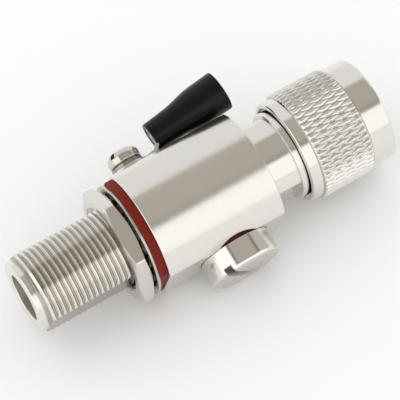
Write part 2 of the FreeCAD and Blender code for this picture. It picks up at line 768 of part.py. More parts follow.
# Earth screw: domed head with a cross recess, on a shank
def make_earth_screw():
    body = new_body("earth_screw")
    seat = "body_half_flats + lug_sheet + lock_ring_thickness + 2 * press_gap"
    top = f"{seat} + screw_rim_height + screw_dome_height"
    turned(body, "turned_screw", [
        ("0", f"{seat} - screw_length"),
        ("screw_shank_radius", f"{seat} - screw_length"),
        ("screw_shank_radius", seat),
        ("screw_head_radius", seat),
        ("screw_head_radius", f"{seat} + screw_rim_height"),
        ("screw_head_radius * 0.94", f"{seat} + screw_rim_height + screw_dome_height * 0.35"),
        ("screw_head_radius * 0.78", f"{seat} + screw_rim_height + screw_dome_height * 0.68"),
        ("screw_dome_radius", f"{seat} + screw_rim_height + screw_dome_height * 0.92"),
        ("0", top),
    ], axis="V_Axis", move=("earth_x", None, None))
    for name, turn in (("cross_one", "screw_cross_turn"), ("cross_two", "screw_cross_turn + 90")):
        sketch = upright_sketch(body, name + "_outline", "earth_x", turn)
        above = f"{top} + 1"
        floor = f"{top} - screw_cross_depth"
        wide = "screw_cross_span / 2"
        narrow = "screw_cross_span / 2 * 0.45"
        outline(sketch, [
            (f"-{wide}", above),
            (f"-{narrow}", floor),
            (narrow, floor),
            (wide, above),
        ])
        feature(body, "Pocket", name, sketch, Length="screw_cross_width", Midplane=True)


# Split spring washer under the screw head
def make_lock_ring():
    body = new_body("spring_washer")
    foot = "body_half_flats + lug_sheet + press_gap"
    sketch = new_sketch(body, "washer_outline", "XY_Plane", ("earth_x", None, foot))
    circle_in(sketch, "0", "0", "lock_ring_radius")
    circle_in(sketch, "0", "0", "lock_ring_bore")
    feature(body, "Pad", "washer_ring", sketch, Length="lock_ring_thickness")
    cut = new_sketch(body, "split_outline", "XY_Plane", ("earth_x", None, foot), "lock_ring_turn")
    half = "lock_ring_gap / 2"
    beyond = "lock_ring_radius * 1.2"
    outline(cut, [("0", f"-{half}"), (beyond, f"-{half}"), (beyond, half), ("0", half)])
    feature(body, "Pocket", "split", cut, Type="ThroughAll", Reversed=True)


def swivelled(label):
    """Start a piece of the lug, swivelled about the screw before the whole object's roll."""
    body = doc.addObject("PartDesign::Body", label)
    roll = FreeCAD.Rotation(FreeCAD.Vector(1, 0, 0), float(sheet.roll))
    swivel = FreeCAD.Rotation(FreeCAD.Vector(0, 0, 1), -float(sheet.lug_swivel))
    screw_seat = FreeCAD.Vector(float(sheet.earth_x), 0, float(sheet.body_half_flats))
    lie = FreeCAD.Placement(FreeCAD.Vector(0, 0, 0), roll)
    body.Placement = lie.multiply(FreeCAD.Placement(screw_seat, swivel))
    return body


# Ring lug: ring, rising tongue and crimp barrel from one folded sheet
def make_lug():
    body = swivelled("ring_lug")
    barrel_spot = ("sleeve_start", "sleeve_axis_height", None)
    barrel_end = "lug_barrel_length - lug_barrel_lead"
    plan = new_sketch(body, "plan_outline", "XY_Plane")
    outline(plan, [
        ("0", "-lug_ring_radius"),
        ("lug_tongue_start", "-lug_tongue_half_width"),
        ("lug_tongue_end", "-lug_tongue_half_width"),
        ("lug_tongue_end", "lug_tongue_half_width"),
        ("lug_tongue_start", "lug_tongue_half_width"),
        ("0", "lug_ring_radius"),
    ])
    feature(body, "Pad", "tongue_block", plan, Length="4 * lug_sheet")
    barrel_floor = "sleeve_axis_height - lug_barrel_radius"
    side = new_sketch(body, "side_outline", "XZ_Plane")
    outline(side, [
        ("-1", "lug_sheet"),
        ("lug_slope_start", "lug_sheet"),
        ("lug_bend_start - lug_sheet / 3", "lug_sheet + lug_slope_rise"),
        ("lug_bend_start - lug_sheet / 3 + lug_bend_run", f"lug_sheet + {barrel_floor}"),
        ("lug_tongue_end + 1", f"lug_sheet + {barrel_floor}"),
        ("lug_tongue_end + 1", "5 * lug_sheet"),
        ("-1", "5 * lug_sheet"),
    ])
    outline(side, [
        ("lug_slope_start", "0"),
        ("lug_slope_start", "-1"),
        ("lug_tongue_end + 1", "-1"),
        ("lug_tongue_end + 1", barrel_floor),
        ("lug_bend_start + lug_bend_run", barrel_floor),
        ("lug_bend_start", "lug_slope_rise"),
    ])
    feature(body, "Pocket", "sheet_form", side, Type="ThroughAll", Midplane=True)
    ring = new_sketch(body, "ring_outline", "XY_Plane")
    circle_in(ring, "0", "0", "lug_ring_radius")
    feature(body, "Pad", "ring", ring, Length="lug_sheet")
    turned(body, "crimp_barrel", [
        ("-lug_barrel_lead", "lug_barrel_bore"),
        ("-lug_barrel_lead", "lug_barrel_radius"),
        (barrel_end, "lug_barrel_radius"),
        (barrel_end, "lug_barrel_bore"),
    ], move=barrel_spot, turn="sleeve_rise")
    hole = new_sketch(body, "hole_outline", "XY_Plane")
    circle_in(hole, "0", "0", "lug_hole_radius")
    feature(body, "Pocket", "screw_hole", hole, Type="ThroughAll", Midplane=True)
    bore = new_sketch(body, "bore_outline", "XZ_Plane", barrel_spot, "sleeve_rise")
    outline(bore, [
        ("-1", "0"),
        ("-1", "lug_barrel_bore"),
        (barrel_end, "lug_barrel_bore"),
        (barrel_end, "0"),
    ])
    feature(body, "Groove", "wire_bore", bore, ReferenceAxis=(bore, ["H_Axis"]), Angle="360 deg")


# Vinyl sleeve: narrow over the crimp barrel, flared at the wire end
def make_sleeve():
    body = swivelled("lug_sleeve")
    turned(body, "sleeve", [
        ("0", "lug_barrel_radius + press_gap"),
        ("0", "sleeve_front_radius"),
        ("sleeve_waist_at", "sleeve_waist_radius"),
        ("sleeve_flare_at", "sleeve_rear_radius - 0.1"),
        ("sleeve_length", "sleeve_rear_radius"),
        ("sleeve_length", "sleeve_rear_radius - sleeve_wall"),
        ("sleeve_flare_at", "sleeve_rear_radius - 0.1 - sleeve_wall"),
        ("lug_barrel_length - lug_barrel_lead", "lug_barrel_radius + press_gap"),
    ], move=("sleeve_start", "sleeve_axis_height", None), turn="sleeve_rise")


make_body()
make_neck()
make_coupling_nut()
make_snap_ring()
make_outer_contact()
make_face_gasket()
make_conductor()
make_plug_pin()
make_socket_contact()
make_bead("front_bead", "seat_depth + front_bead_inset - barrel_length", "front_bead_length")
make_bead("rear_bead", "body_length + rear_bead_inset", "rear_bead_length")
make_panel_gasket()
make_tooth_washer()
make_hex_nut()
make_cap()
make_cap_seal()
make_gas_tube()
make_contact_spring()
make_earth_screw()
make_lock_ring()
make_lug()
make_sleeve()

# Build everything, look at each piece and write it
doc.recompute()
for item in doc.Objects:
    if "Invalid" in item.State or "Error" in item.State:
        raise RuntimeError(f"{item.Label} did not build: {item.State}")
os.makedirs("parts", exist_ok=True)
for body in doc.findObjects("PartDesign::Body"):
    shape = body.Shape
    if shape.isNull() or not shape.isValid() or len(shape.Solids) != 1:
        raise RuntimeError(f"{body.Label} is not one valid solid")
    shape.exportStep(f"parts/{body.Label}.step")
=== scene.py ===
import math

import bmesh
import bpy
import mathutils
import numpy as np
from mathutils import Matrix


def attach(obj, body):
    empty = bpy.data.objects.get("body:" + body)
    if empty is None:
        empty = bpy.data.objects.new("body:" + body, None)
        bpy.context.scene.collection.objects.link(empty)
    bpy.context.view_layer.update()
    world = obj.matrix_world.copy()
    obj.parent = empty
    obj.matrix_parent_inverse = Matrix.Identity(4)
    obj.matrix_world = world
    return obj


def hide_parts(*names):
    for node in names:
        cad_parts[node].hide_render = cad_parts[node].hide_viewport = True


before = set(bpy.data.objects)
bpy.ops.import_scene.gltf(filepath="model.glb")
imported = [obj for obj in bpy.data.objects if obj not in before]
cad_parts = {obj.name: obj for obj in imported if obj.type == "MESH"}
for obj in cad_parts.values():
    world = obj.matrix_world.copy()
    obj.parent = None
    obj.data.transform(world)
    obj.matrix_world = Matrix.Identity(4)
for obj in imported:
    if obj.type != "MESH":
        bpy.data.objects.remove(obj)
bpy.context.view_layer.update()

# Body block
# The earthed block in the middle, turned from brass bar with a flat milled above and below,
# then bored for the centre line, the gas tube and the earth screw, and nickel-plated.

BODY_RADIUS = 11.615
BODY_LENGTH = 23.3
BODY_HALF_FLATS = 10.22
BODY_EDGE = 0.25
LINE_RADIUS = 3.5
CHAMBER_START = 6.0
CHAMBER_RADIUS = 4.2
SPIGOT_START = 19.6
SPIGOT_BORE = 6.03
PORT_X = 13.6
PORT_RADIUS = 5.6
PORT_FLOOR = -5.52
PORT_CUTTER_FOOT = -13.0
SEAL_SEAT = -9.4
SEAL_SEAT_RADIUS = 6.7
EARTH_X = 5.1
EARTH_HOLE_RADIUS = 1.5
EARTH_HOLE_FLOOR = 5.02
DRILL_POINT = 4.3
HOLE_CUTTER_TOP = 12.0

# The object is drawn upright, screw at +Z, and lies on its side and on the cap's rim.
ROLL_COS = 0.3855647
ROLL_SIN = -0.9226808


def laid(points):
    """Roll upright millimetres about X into the row frame, in metres.
    y' = y cos - z sin and z' = y sin + z cos."""
    x, y, z = np.moveaxis(np.asarray(points, float), -1, 0)
    turned = (x, y * ROLL_COS - z * ROLL_SIN, y * ROLL_SIN + z * ROLL_COS)
    return np.stack(turned, axis=-1) / 1000


def rounded(outline, steps=6, margin=1.15):
    """Round the corners of an outline of (axial, radius, rounding, flat depth).
    A corner becomes an arc between two points at the rounding's distance from it:
    ((1-s)^2 first + 2ws(1-s) corner + s^2 last) over its weights, w the sine of half the corner.
    A further point outside each end, by the margin, keeps the faces beside the arc evenly shaded."""
    places = np.array([corner[:2] for corner in outline], float)
    rows = []
    for i, corner in enumerate(outline):
        rounding = corner[2] if len(corner) > 2 else 0
        cut = corner[3] if len(corner) > 3 else math.nan
        if not rounding:
            rows.append((*places[i], cut))
            continue
        arms = [places[i - 1] - places[i], places[(i + 1) % len(places)] - places[i]]
        before, after = (arm / np.linalg.norm(arm) for arm in arms)
        share = np.linspace(0, 1, steps)[:, None]
        middle = 2 * math.sqrt((1 - before @ after) / 2) * share * (1 - share)
        weights = (1 - share) ** 2 + middle + share ** 2
        curve = places[i] + rounding * ((1 - share) ** 2 * before + share ** 2 * after) / weights
        hold = margin * rounding
        for spot in (places[i] + hold * before, *curve, places[i] + hold * after):
            rows.append((*spot, cut))
    return np.array(rows)


def section(radius, half_flats, side_steps=60, flat_steps=24, edge=0.006):
    """Walk once round each row's section: the right arc, the upper flat (or an arc where there is none),
    the left arc and the lower flat. Arcs meet flats at the angle whose sine is height over radius.
    Two close points on either side of a meeting, an edge's share apart, keep its shading crisp."""
    radius, half_flats = np.asarray(radius, float), np.asarray(half_flats, float)
    flat = half_flats < radius
    meeting = np.arcsin(np.clip(half_flats / radius, 0, 1))
    corner = np.where(flat, meeting, math.radians(60))[..., None]
    radius, half_flats, flat = radius[..., None], half_flats[..., None], flat[..., None]
    side = np.concatenate(([0, edge], np.linspace(0, 1, side_steps)[1:-1], [1 - edge]))
    top = np.concatenate(([0, 2 * edge], np.linspace(0, 1, flat_steps)[1:-1], [1 - 2 * edge]))
    right = -corner + 2 * corner * side
    over = corner + (math.pi - 2 * corner) * top
    half_width = radius * np.cos(corner)
    upper_u = np.where(flat, half_width * (1 - 2 * top), radius * np.cos(over))
    upper_v = np.where(flat, half_flats, radius * np.sin(over))
    u = [radius * np.cos(right), upper_u, -radius * np.cos(right), -upper_u]
    v = [radius * np.sin(right), upper_v, -radius * np.sin(right), -upper_v]
    return np.concatenate(u, axis=-1), np.concatenate(v, axis=-1)


def lathe(outline):
    """Turn an outline about the axis: a grid of (axial, u, v) with one row for each outline point."""
    rows = rounded(outline)
    radius = np.maximum(rows[:, 1], 1e-9)
    half_flats = np.where(np.isnan(rows[:, 2]), np.inf, radius - rows[:, 2])
    u, v = section(radius, half_flats)
    return np.stack((np.broadcast_to(rows[:, :1], u.shape), u, v), axis=-1)


def on_z(grid, x):
    """Stand a grid of (axial, u, v) on an upright axis: x = centre + u, y = v, z = axial."""
    return np.stack((x + grid[..., 1], grid[..., 2], grid[..., 0]), axis=-1)


def skin(name, points, wrap_rows=True, wrap_columns=True):
    """Make one closed mesh from a grid of points: each cell of four neighbours is a face.
    Rows and columns close on themselves where asked, and points that meet are welded."""
    rows, columns = points.shape[:2]
    index = np.arange(rows * columns).reshape(rows, columns)
    down = index if wrap_rows else index[:-1]
    following = np.roll(index, -1, axis=0)[: len(down)]
    if wrap_columns:
        across = [np.roll(part, -1, axis=1) for part in (down, following)]
    else:
        across = [part[:, 1:] for part in (down, following)]
        down, following = down[:, :-1], following[:, :-1]
    faces = np.stack((down, across[0], across[1], following), axis=-1).reshape(-1, 4)
    return finished(name, laid(points).reshape(-1, 3), faces)


def finished(name, places, faces):
    """Build a mesh object from arrays, weld points that meet, turn faces outward and shade it."""
    mesh = bpy.data.meshes.new(name)
    mesh.from_pydata(places, [], faces)
    piece = bpy.data.objects.new(name, mesh)
    bpy.context.scene.collection.objects.link(piece)
    tidied(piece)
    return piece


def tidied(piece, sharp=34):
    """Weld a piece's meeting points, drop empty faces and turn the rest outward.
    Shade it smooth, but for edges that bend by more than the sharp angle."""
    work = bmesh.new()
    work.from_mesh(piece.data)
    bmesh.ops.remove_doubles(work, verts=work.verts, dist=4e-7)
    bmesh.ops.dissolve_degenerate(work, edges=work.edges, dist=2e-7)
    bmesh.ops.recalc_face_normals(work, faces=work.faces)
    work.to_mesh(piece.data)
    work.free()
    piece.data.polygons.foreach_set("use_smooth", np.ones(len(piece.data.polygons), bool))
    piece.data.set_sharp_from_angle(angle=math.radians(sharp))
    piece.data.update()


def cut_by(piece, *tools):
    """Cut each tool's volume out of the piece, and throw the tools away."""
    for tool in tools:
        cut = piece.modifiers.new("cut", "BOOLEAN")
        cut.operation = "DIFFERENCE"
        cut.solver = "EXACT"
        cut.object = tool
        settle(piece)
        bpy.data.objects.remove(tool)
    tidied(piece)


def settle(piece):
    """Turn the piece's modifiers into plain mesh."""
    bpy.context.view_layer.update()
    shown = piece.evaluated_get(bpy.context.evaluated_depsgraph_get())
    mesh = bpy.data.meshes.new_from_object(shown)
    piece.modifiers.clear()
    piece.data = mesh


def linear(colour):
    """Turn an sRGB hex colour into linear red, green, blue and full alpha."""
    parts = [int(colour[i:i + 2], 16) / 255 for i in (1, 3, 5)]
    return [c / 12.92 if c <= 0.04045 else ((c + 0.055) / 1.055) ** 2.4 for c in parts] + [1.0]


def add(tree, kind, links=None, values=None, **settings):
    """Add a shader node, set its properties and values, and link outputs of other nodes into it."""
    node = tree.nodes.new("ShaderNode" + kind)
    for key, value in settings.items():
        setattr(node, key, value)
    for key, value in (values or {}).items():
        node.inputs[key].default_value = value
    for key, output in (links or {}).items():
        tree.links.new(output, node.inputs[key])
    return node


def blank(name):
    """Start a material: its tree, its shader and the place of each point in millimetres."""
    material = bpy.data.materials.new(name)
    material.use_nodes = True
    tree = material.node_tree
    place = add(tree, "TexCoord")
    spot = add(tree, "VectorMath", {0: place.outputs["Object"]}, {"Scale": 1000.0}, operation="SCALE")
    return material, tree, tree.nodes["Principled BSDF"], spot.outputs[0]


# The height of a surface's marks at full strength, in metres.
MARK_HEIGHT = 0.00002


def turned_metal(
    name, colour, roughness, marks=4.0, depth=0.2, centre=(0, 0, 0), axis=(1, 0, 0), groove_shade=None,
):
    """Plated metal with turning marks, so many a millimetre and with a share of their full height:
    noise read along the axis and along the radius, so it draws rings. Slower noise clouds the gloss.
    Where a colour and two radii are given for the grooves, the colour darkens to it from the second
    radius to the first: painted shade down in the grooves."""
    material, tree, shader, spot = blank(name)
    shader.inputs["Base Color"].default_value = linear(colour)
    shader.inputs["Metallic"].default_value = 1.0
    arm = add(tree, "VectorMath", {0: spot}, {1: centre}, operation="SUBTRACT")
    along = add(tree, "VectorMath", {0: arm.outputs[0]}, {1: axis}, operation="DOT_PRODUCT")
    whole = add(tree, "VectorMath", {0: arm.outputs[0]}, {1: axis}, operation="CROSS_PRODUCT")
    out = add(tree, "VectorMath", {0: whole.outputs[0]}, operation="LENGTH")
    place = add(tree, "CombineXYZ", {"X": along.outputs["Value"], "Y": out.outputs["Value"]})
    # Painted shade: the base colour darkens toward the bottom of the grooves.
    if groove_shade:
        shade, inner, outer = groove_shade
        limits = {"From Min": inner, "From Max": outer}
        height = add(tree, "MapRange", {"Value": out.outputs["Value"]}, limits)
        tones = {6: linear(shade), 7: linear(colour)}
        tint = add(tree, "Mix", {"Factor": height.outputs[0]}, tones, data_type="RGBA")
        tree.links.new(tint.outputs[2], shader.inputs["Base Color"])
    fine = {"Scale": marks, "Detail": 3.0, "Roughness": 0.6}
    rings = add(tree, "TexNoise", {"Vector": place.outputs[0]}, fine)
    patches = add(tree, "TexNoise", {"Vector": spot}, {"Scale": 0.35, "Detail": 4.0})
    cloudy = add(tree, "Math", {0: rings.outputs[0], 1: patches.outputs[0]}, operation="ADD")
    spread = {"From Min": 0.6, "From Max": 1.4, "To Min": roughness * 0.8, "To Max": roughness * 1.25}
    gloss = add(tree, "MapRange", {"Value": cloudy.outputs[0]}, spread)
    tree.links.new(gloss.outputs[0], shader.inputs["Roughness"])
    bump = add(tree, "Bump", {"Height": rings.outputs[0]}, {"Strength": depth, "Distance": MARK_HEIGHT})
    tree.links.new(bump.outputs[0], shader.inputs["Normal"])
    return material


FLAT_CUT = BODY_RADIUS - BODY_HALF_FLATS
block = skin("body_block", lathe([
    (0, LINE_RADIUS),
    (0, BODY_RADIUS, BODY_EDGE, FLAT_CUT),
    (BODY_LENGTH, BODY_RADIUS, BODY_EDGE, FLAT_CUT),
    (BODY_LENGTH, SPIGOT_BORE),
    (SPIGOT_START, SPIGOT_BORE),
    (SPIGOT_START, CHAMBER_RADIUS),
    (CHAMBER_START, CHAMBER_RADIUS),
    (CHAMBER_START, LINE_RADIUS),
]))
port = skin("port_tool", on_z(lathe([
    (PORT_CUTTER_FOOT, 0),
    (PORT_CUTTER_FOOT, SEAL_SEAT_RADIUS),
    (SEAL_SEAT, SEAL_SEAT_RADIUS),
    (SEAL_SEAT, PORT_RADIUS),
    (PORT_FLOOR, PORT_RADIUS),
    (PORT_FLOOR, CHAMBER_RADIUS),
    (0, CHAMBER_RADIUS),
    (0, 0),
]), PORT_X), wrap_rows=False)
hole = skin("hole_tool", on_z(lathe([
    (HOLE_CUTTER_TOP, 0),
    (HOLE_CUTTER_TOP, EARTH_HOLE_RADIUS),
    (EARTH_HOLE_FLOOR, EARTH_HOLE_RADIUS),
    (DRILL_POINT, 0),
]), EARTH_X), wrap_rows=False)
cut_by(block, port, hole)

# Satin nickel over fine turning: broad soft bands of grey and white run along the block.
# The real marks are about 0.05 mm apart, too fine for the picture, so they are drawn at 0.25 mm.
NICKEL = "#E6E3DD"
body_nickel = turned_metal("nickel plated brass, turned", NICKEL, 0.2)
block.data.materials.append(body_nickel)
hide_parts("arrestor_body")
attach(block, "arrestor")

# Threaded barrel
# The front of the same brass piece: a 5/8 in thread with two flats, a smooth pilot
# and the socket's mouth. The thread runs the whole length up to the block.

BARREL_TIP = -22.65
THREAD_START = -21.45
THREAD_RADIUS = 7.9375
THREAD_DEPTH = 0.649
THREAD_PITCH = 1.0583
THREAD_HUB = 6.5
CORE_RADIUS = 6.52
BARREL_HALF_FLATS = 6.63
PILOT_RADIUS = 6.65
LEAD_RADIUS = 7.2
LEAD_LENGTH = 0.95
SEAT_FLOOR = -13.55
SEAT_RADIUS = 4.1
MOUTH_FLOOR = -18.4
MOUTH_RADIUS = 4.3

# Where one pitch of the thread bends, in shares of it, and how much of its depth it has fallen there:
# a crest of an eighth, a flank, a root of a quarter and a flank. Each bend is eased by two close points.
THREAD_BENDS = np.array([0.0625, 0.375, 0.625, 0.9375])
THREAD_FALLS = np.array([0, 1, 1, 0])
THREAD_EASE = 0.012


def threaded(start, end, pitch, crest, depth, hub, half_flats=math.inf, low=None, high=None):
    """A thread as a grid whose rows follow the helix: axial = pitch (turn + angle / 2 pi).
    The radius falls from the crest by the turn's share, keeps above low and under high, and stops at
    the flats: height over the sine of the angle. Both ends are closed by the hub's radius."""
    share = (THREAD_BENDS[:, None] + (-THREAD_EASE, THREAD_EASE)).ravel()
    fall = np.interp(share, THREAD_BENDS, THREAD_FALLS)
    turns = np.arange(math.floor(start / pitch) - 2, math.ceil(end / pitch) + 2)
    turn = (turns[:, None] + share).ravel()[:, None]
    plain = crest - depth * np.tile(fall, len(turns))
    u, v = section(plain, np.full(len(plain), half_flats))
    angle = np.unwrap(np.arctan2(v, u), axis=1)
    angle = np.concatenate((angle, angle[:, :1] + 2 * math.pi), axis=1)
    axial = np.clip(pitch * (turn + angle / (2 * math.pi)), start, end)
    radius = np.broadcast_to(plain[:, None], axial.shape)
    if low is not None:
        radius = np.maximum(radius, low(axial))
    if high is not None:
        radius = np.minimum(radius, high(axial))
    radius = np.minimum(radius, half_flats / np.maximum(np.abs(np.sin(angle)), 1e-6))
    grid = np.stack((axial, radius * np.cos(angle), radius * np.sin(angle)), axis=-1)
    ends = []
    for place in (start, end):
        u, v = section(np.array([hub]), np.array([math.inf]))
        ring = np.stack((np.full(u.shape, place), u, v), axis=-1)
        ends.append(np.concatenate((ring, ring[:, :1]), axis=1))
    return np.concatenate((ends[0], grid, ends[1]))


def barrel_lead(axial):
    """The bevel at the thread's start: the radius grows evenly from the lead radius to the crest."""
    return LEAD_RADIUS + (axial - THREAD_START) / LEAD_LENGTH * (THREAD_RADIUS - LEAD_RADIUS)


thread = skin("barrel_thread", threaded(
    THREAD_START, 0.0, THREAD_PITCH, THREAD_RADIUS, THREAD_DEPTH, THREAD_HUB,
    half_flats=BARREL_HALF_FLATS, high=barrel_lead,
), wrap_columns=False)
barrel = skin("barrel_core", lathe([
    (BARREL_TIP, MOUTH_RADIUS, 0.3),
    (BARREL_TIP, PILOT_RADIUS, 0.4),
    (THREAD_START, PILOT_RADIUS),
    (THREAD_START + 0.05, CORE_RADIUS),
    (0, CORE_RADIUS),
    (0, LINE_RADIUS),
    (SEAT_FLOOR, LINE_RADIUS),
    (SEAT_FLOOR, SEAT_RADIUS),
    (MOUTH_FLOOR, SEAT_RADIUS),
    (MOUTH_FLOOR, MOUTH_RADIUS),
]))

# The roots of the cut thread are painted a darker grey as shade, so each turn shows as a bright crest
# over a dark line.
THREAD_ROOT_SHADE = ("#ADA69B", THREAD_RADIUS - THREAD_DEPTH, THREAD_RADIUS - 0.42)
thread_nickel = turned_metal("nickel plated brass, cut thread", NICKEL, 0.16, groove_shade=THREAD_ROOT_SHADE)
# A drilled bore keeps a coarse satin wall that scatters the light falling into the mouth.
bore_nickel = turned_metal("nickel plated brass, bored", "#CFC6B6", 0.5)
thread.data.materials.append(thread_nickel)
barrel.data.materials.append(body_nickel)


def dress_faces(piece, material, chosen):
    """Give one more material to the faces whose middles pass a test of upright millimetres:
    y = y' cos + z' sin and z = z' cos - y' sin, the turn of laid() the other way."""
    count = len(piece.data.polygons)
    middles, worn = np.empty(count * 3), np.empty(count, int)
    piece.data.polygons.foreach_get("center", middles)
    piece.data.polygons.foreach_get("material_index", worn)
    x, y, z = middles.reshape(-1, 3).T * 1000
    picked = chosen(x, y * ROLL_COS + z * ROLL_SIN, z * ROLL_COS - y * ROLL_SIN)
    worn[picked] = len(piece.data.materials)
    piece.data.materials.append(material)
    piece.data.polygons.foreach_set("material_index", worn)


def in_mouth(x, y, z):
    """Faces of the bore behind the rounded rim of the mouth."""
    return (np.hypot(y, z) < MOUTH_RADIUS) & (x > BARREL_TIP + 0.4)


dress_faces(barrel, bore_nickel, in_mouth)
for piece in (thread, barrel):
    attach(piece, "arrestor")

# Centre line, beads and gas tube
# Inside pieces kept as the frame draws them: a gold-plated socket and pin on a brass rod, two
# pressed insulator beads, and the ceramic tube with its two electrodes and spring.


def grained(name, colour, roughness, metallic=0.0, reflection=0.5, grain=4.0):
    """A fine-grained surface: slow noise clouds its tone and gloss, and quick noise, so many grains a
    millimetre, roughens it. Reflection is the strength of a surface that is no metal."""
    material, tree, shader, spot = blank(name)
    shader.inputs["Specular IOR Level"].default_value = reflection
    shader.inputs["Metallic"].default_value = metallic
    cloud = add(tree, "TexNoise", {"Vector": spot}, {"Scale": 0.6, "Detail": 4.0})
    light, dark = ([c * k for c in linear(colour)[:3]] + [1.0] for k in (1.12, 0.88))
    tone = add(tree, "Mix", {"Factor": cloud.outputs[0]}, {6: light, 7: dark}, data_type="RGBA")
    tree.links.new(tone.outputs[2], shader.inputs["Base Color"])
    spread = {"From Min": 0.3, "From Max": 0.7, "To Min": roughness * 0.8, "To Max": roughness * 1.2}
    gloss = add(tree, "MapRange", {"Value": cloud.outputs[0]}, spread)
    tree.links.new(gloss.outputs[0], shader.inputs["Roughness"])
    pores = add(tree, "TexNoise", {"Vector": spot}, {"Scale": grain, "Detail": 2.0})
    bump = add(tree, "Bump", {"Height": pores.outputs[0]}, {"Strength": 0.3, "Distance": MARK_HEIGHT})
    tree.links.new(bump.outputs[0], shader.inputs["Normal"])
    return material


def dress(material, *nodes):
    """Give nodes of the frame a material."""
    for name in nodes:
        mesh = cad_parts[name].data
        mesh.materials.clear()
        mesh.materials.append(material)


# Gold on the centre contacts: a warm bright point deep in the mouth and in the plug.
gold = grained("gold plated bronze", "#E3B96A", 0.22, 1.0)
dress(gold, "socket_contact", "plug_pin", "centre_conductor")
# Bright nickel on the slotted outer contact, which shows as four thin arcs inside the nut.
contact_nickel = grained("nickel plated bronze, bright", "#DCD6CC", 0.2, 1.0)
dress(contact_nickel, "outer_contact", "gas_tube_line_electrode", "gas_tube_earth_electrode")
# Spring steel, bluish and a little duller than the nickel round it.
dress(grained("spring steel", "#A8A6A2", 0.3, 1.0), "contact_spring", "snap_ring")
# Milky white beads, the pale discs behind the contacts.
dress(grained("white insulator, turned", "#ECEAE4", 0.45), "front_bead", "rear_bead")
# Unglazed ceramic, warmer and finer-grained than the beads.
dress(grained("alumina ceramic", "#E9E4DA", 0.35, grain=8.0), "gas_tube_ceramic")
# Brick-red silicone, dull and faintly mottled: the only strong colour on the object.
red = grained("red silicone rubber, moulded", "#76190A", 0.5, reflection=0.18)
dress(red, "face_gasket")

# Cap seal and cap
# A dark red rubber O-ring in the block's seat, and the domed cap of nickel-plated brass that
# screws down on it, with one slot across its rounded end for a coin or driver.

CAP_RADIUS = 6.6
CAP_TOP = -BODY_HALF_FLATS
CAP_END = -14.97
CAP_DOME = 0.35
CAP_ROUND = 1.0
CAVITY_FLOOR = -12.0
CAVITY_RADIUS = 4.15
CAP_CORE = 4.95
CAP_THREAD_TOP = -5.75
CAP_THREAD_FOOT = -10.0
CAP_THREAD_RADIUS = 5.5
CAP_THREAD_PITCH = 1.0
CAP_THREAD_DEPTH = 0.55
CAP_THREAD_BEVEL = 0.4
CAP_THREAD_HUB = 4.6
SLOT_WIDTH = 1.65
SLOT_FLOOR = -13.5
SLOT_TURN = 51.0
SEAL_HEIGHT = -9.81
SEAL_RADIUS = 6.1
SEAL_SECTION = 0.385

around_seal = np.linspace(0, 2 * math.pi, 20, endpoint=False)
seal = skin("cap_o_ring", on_z(lathe([
    (SEAL_HEIGHT + SEAL_SECTION * math.sin(angle), SEAL_RADIUS + SEAL_SECTION * math.cos(angle))
    for angle in around_seal
]), PORT_X))
# Darker, oiled rubber: a thin maroon line between cap and block.
seal.data.materials.append(grained("dark red seal rubber", "#42100A", 0.45, reflection=0.2))
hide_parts("cap_seal")
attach(seal, "cap_seat")


# The six sides of a box whose corners count up along its depth, then its width, then its length.
BOX_FACES = np.array([
    (0, 1, 3, 2), (4, 6, 7, 5), (0, 4, 5, 1), (2, 3, 7, 6), (0, 2, 6, 4), (1, 5, 7, 3),
])


def box_tool(name, middle, size, turn_z=0.0, taper=1.0):
    """A box about its middle, turned about Z: x' = x cos - y sin and y' = x sin + y cos.
    The lower end may be narrower along its length."""
    corner = np.array([(a, b, c) for a in (-1, 1) for b in (-1, 1) for c in (-1, 1)], float)
    spots = corner * np.array(size) / 2
    spots[:, 0] *= np.where(corner[:, 2] < 0, taper, 1.0)
    c, s = math.cos(math.radians(turn_z)), math.sin(math.radians(turn_z))
    x = spots[:, 0] * c - spots[:, 1] * s
    y = spots[:, 0] * s + spots[:, 1] * c
    spots = np.stack((x, y, spots[:, 2]), axis=-1) + np.array(middle)
    return finished(name, laid(spots), BOX_FACES)


def eased(piece, width, angle=50):
    """Bevel the edges of a piece that are sharper than an angle, by a width in millimetres."""
    ease = piece.modifiers.new("edges", "BEVEL")
    ease.width = width / 1000
    ease.segments = 2
    ease.limit_method = "ANGLE"
    ease.angle_limit = math.radians(angle)
    settle(piece)
    tidied(piece, 40)


def cap_lead(height):
    """The bevel at the cap thread's upper end: the radius falls as the height grows."""
    return CAP_THREAD_RADIUS - np.maximum(0, height - (CAP_THREAD_TOP - CAP_THREAD_BEVEL))


cap = skin("domed_cap", on_z(lathe([
    (CAVITY_FLOOR, 0),
    (CAVITY_FLOOR, CAVITY_RADIUS),
    (CAP_THREAD_TOP, CAVITY_RADIUS),
    (CAP_THREAD_TOP, CAP_CORE),
    (CAP_TOP, CAP_CORE),
    (CAP_TOP, CAP_RADIUS, 0.08),
    (CAP_END, CAP_RADIUS, CAP_ROUND),
    (CAP_END, CAP_RADIUS - 1.2),
    (CAP_END - CAP_DOME * 0.4, CAP_RADIUS * 0.66),
    (CAP_END - CAP_DOME * 0.85, CAP_RADIUS * 0.33),
    (CAP_END - CAP_DOME, 0),
]), PORT_X), wrap_rows=False)
cut_by(cap, box_tool("slot_tool", (PORT_X, 0, SLOT_FLOOR - 2.0), (30, SLOT_WIDTH, 4.0), SLOT_TURN))
eased(cap, 0.09)
cap_thread = skin("cap_thread", on_z(threaded(
    CAP_THREAD_FOOT, CAP_THREAD_TOP, CAP_THREAD_PITCH, CAP_THREAD_RADIUS, CAP_THREAD_DEPTH,
    CAP_THREAD_HUB, high=cap_lead,
), PORT_X), wrap_columns=False)

# Coarser turning marks than on the block: they soften the upright bands on the cap's side.
cap_axis = {"centre": (PORT_X, 0, 0), "axis": (0, -ROLL_SIN, ROLL_COS)}
cap_nickel = turned_metal("nickel plated brass, satin", NICKEL, 0.15, marks=2.0, depth=1.0, **cap_axis)
for piece in (cap, cap_thread):
    piece.data.materials.append(cap_nickel)
    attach(piece, "cap")


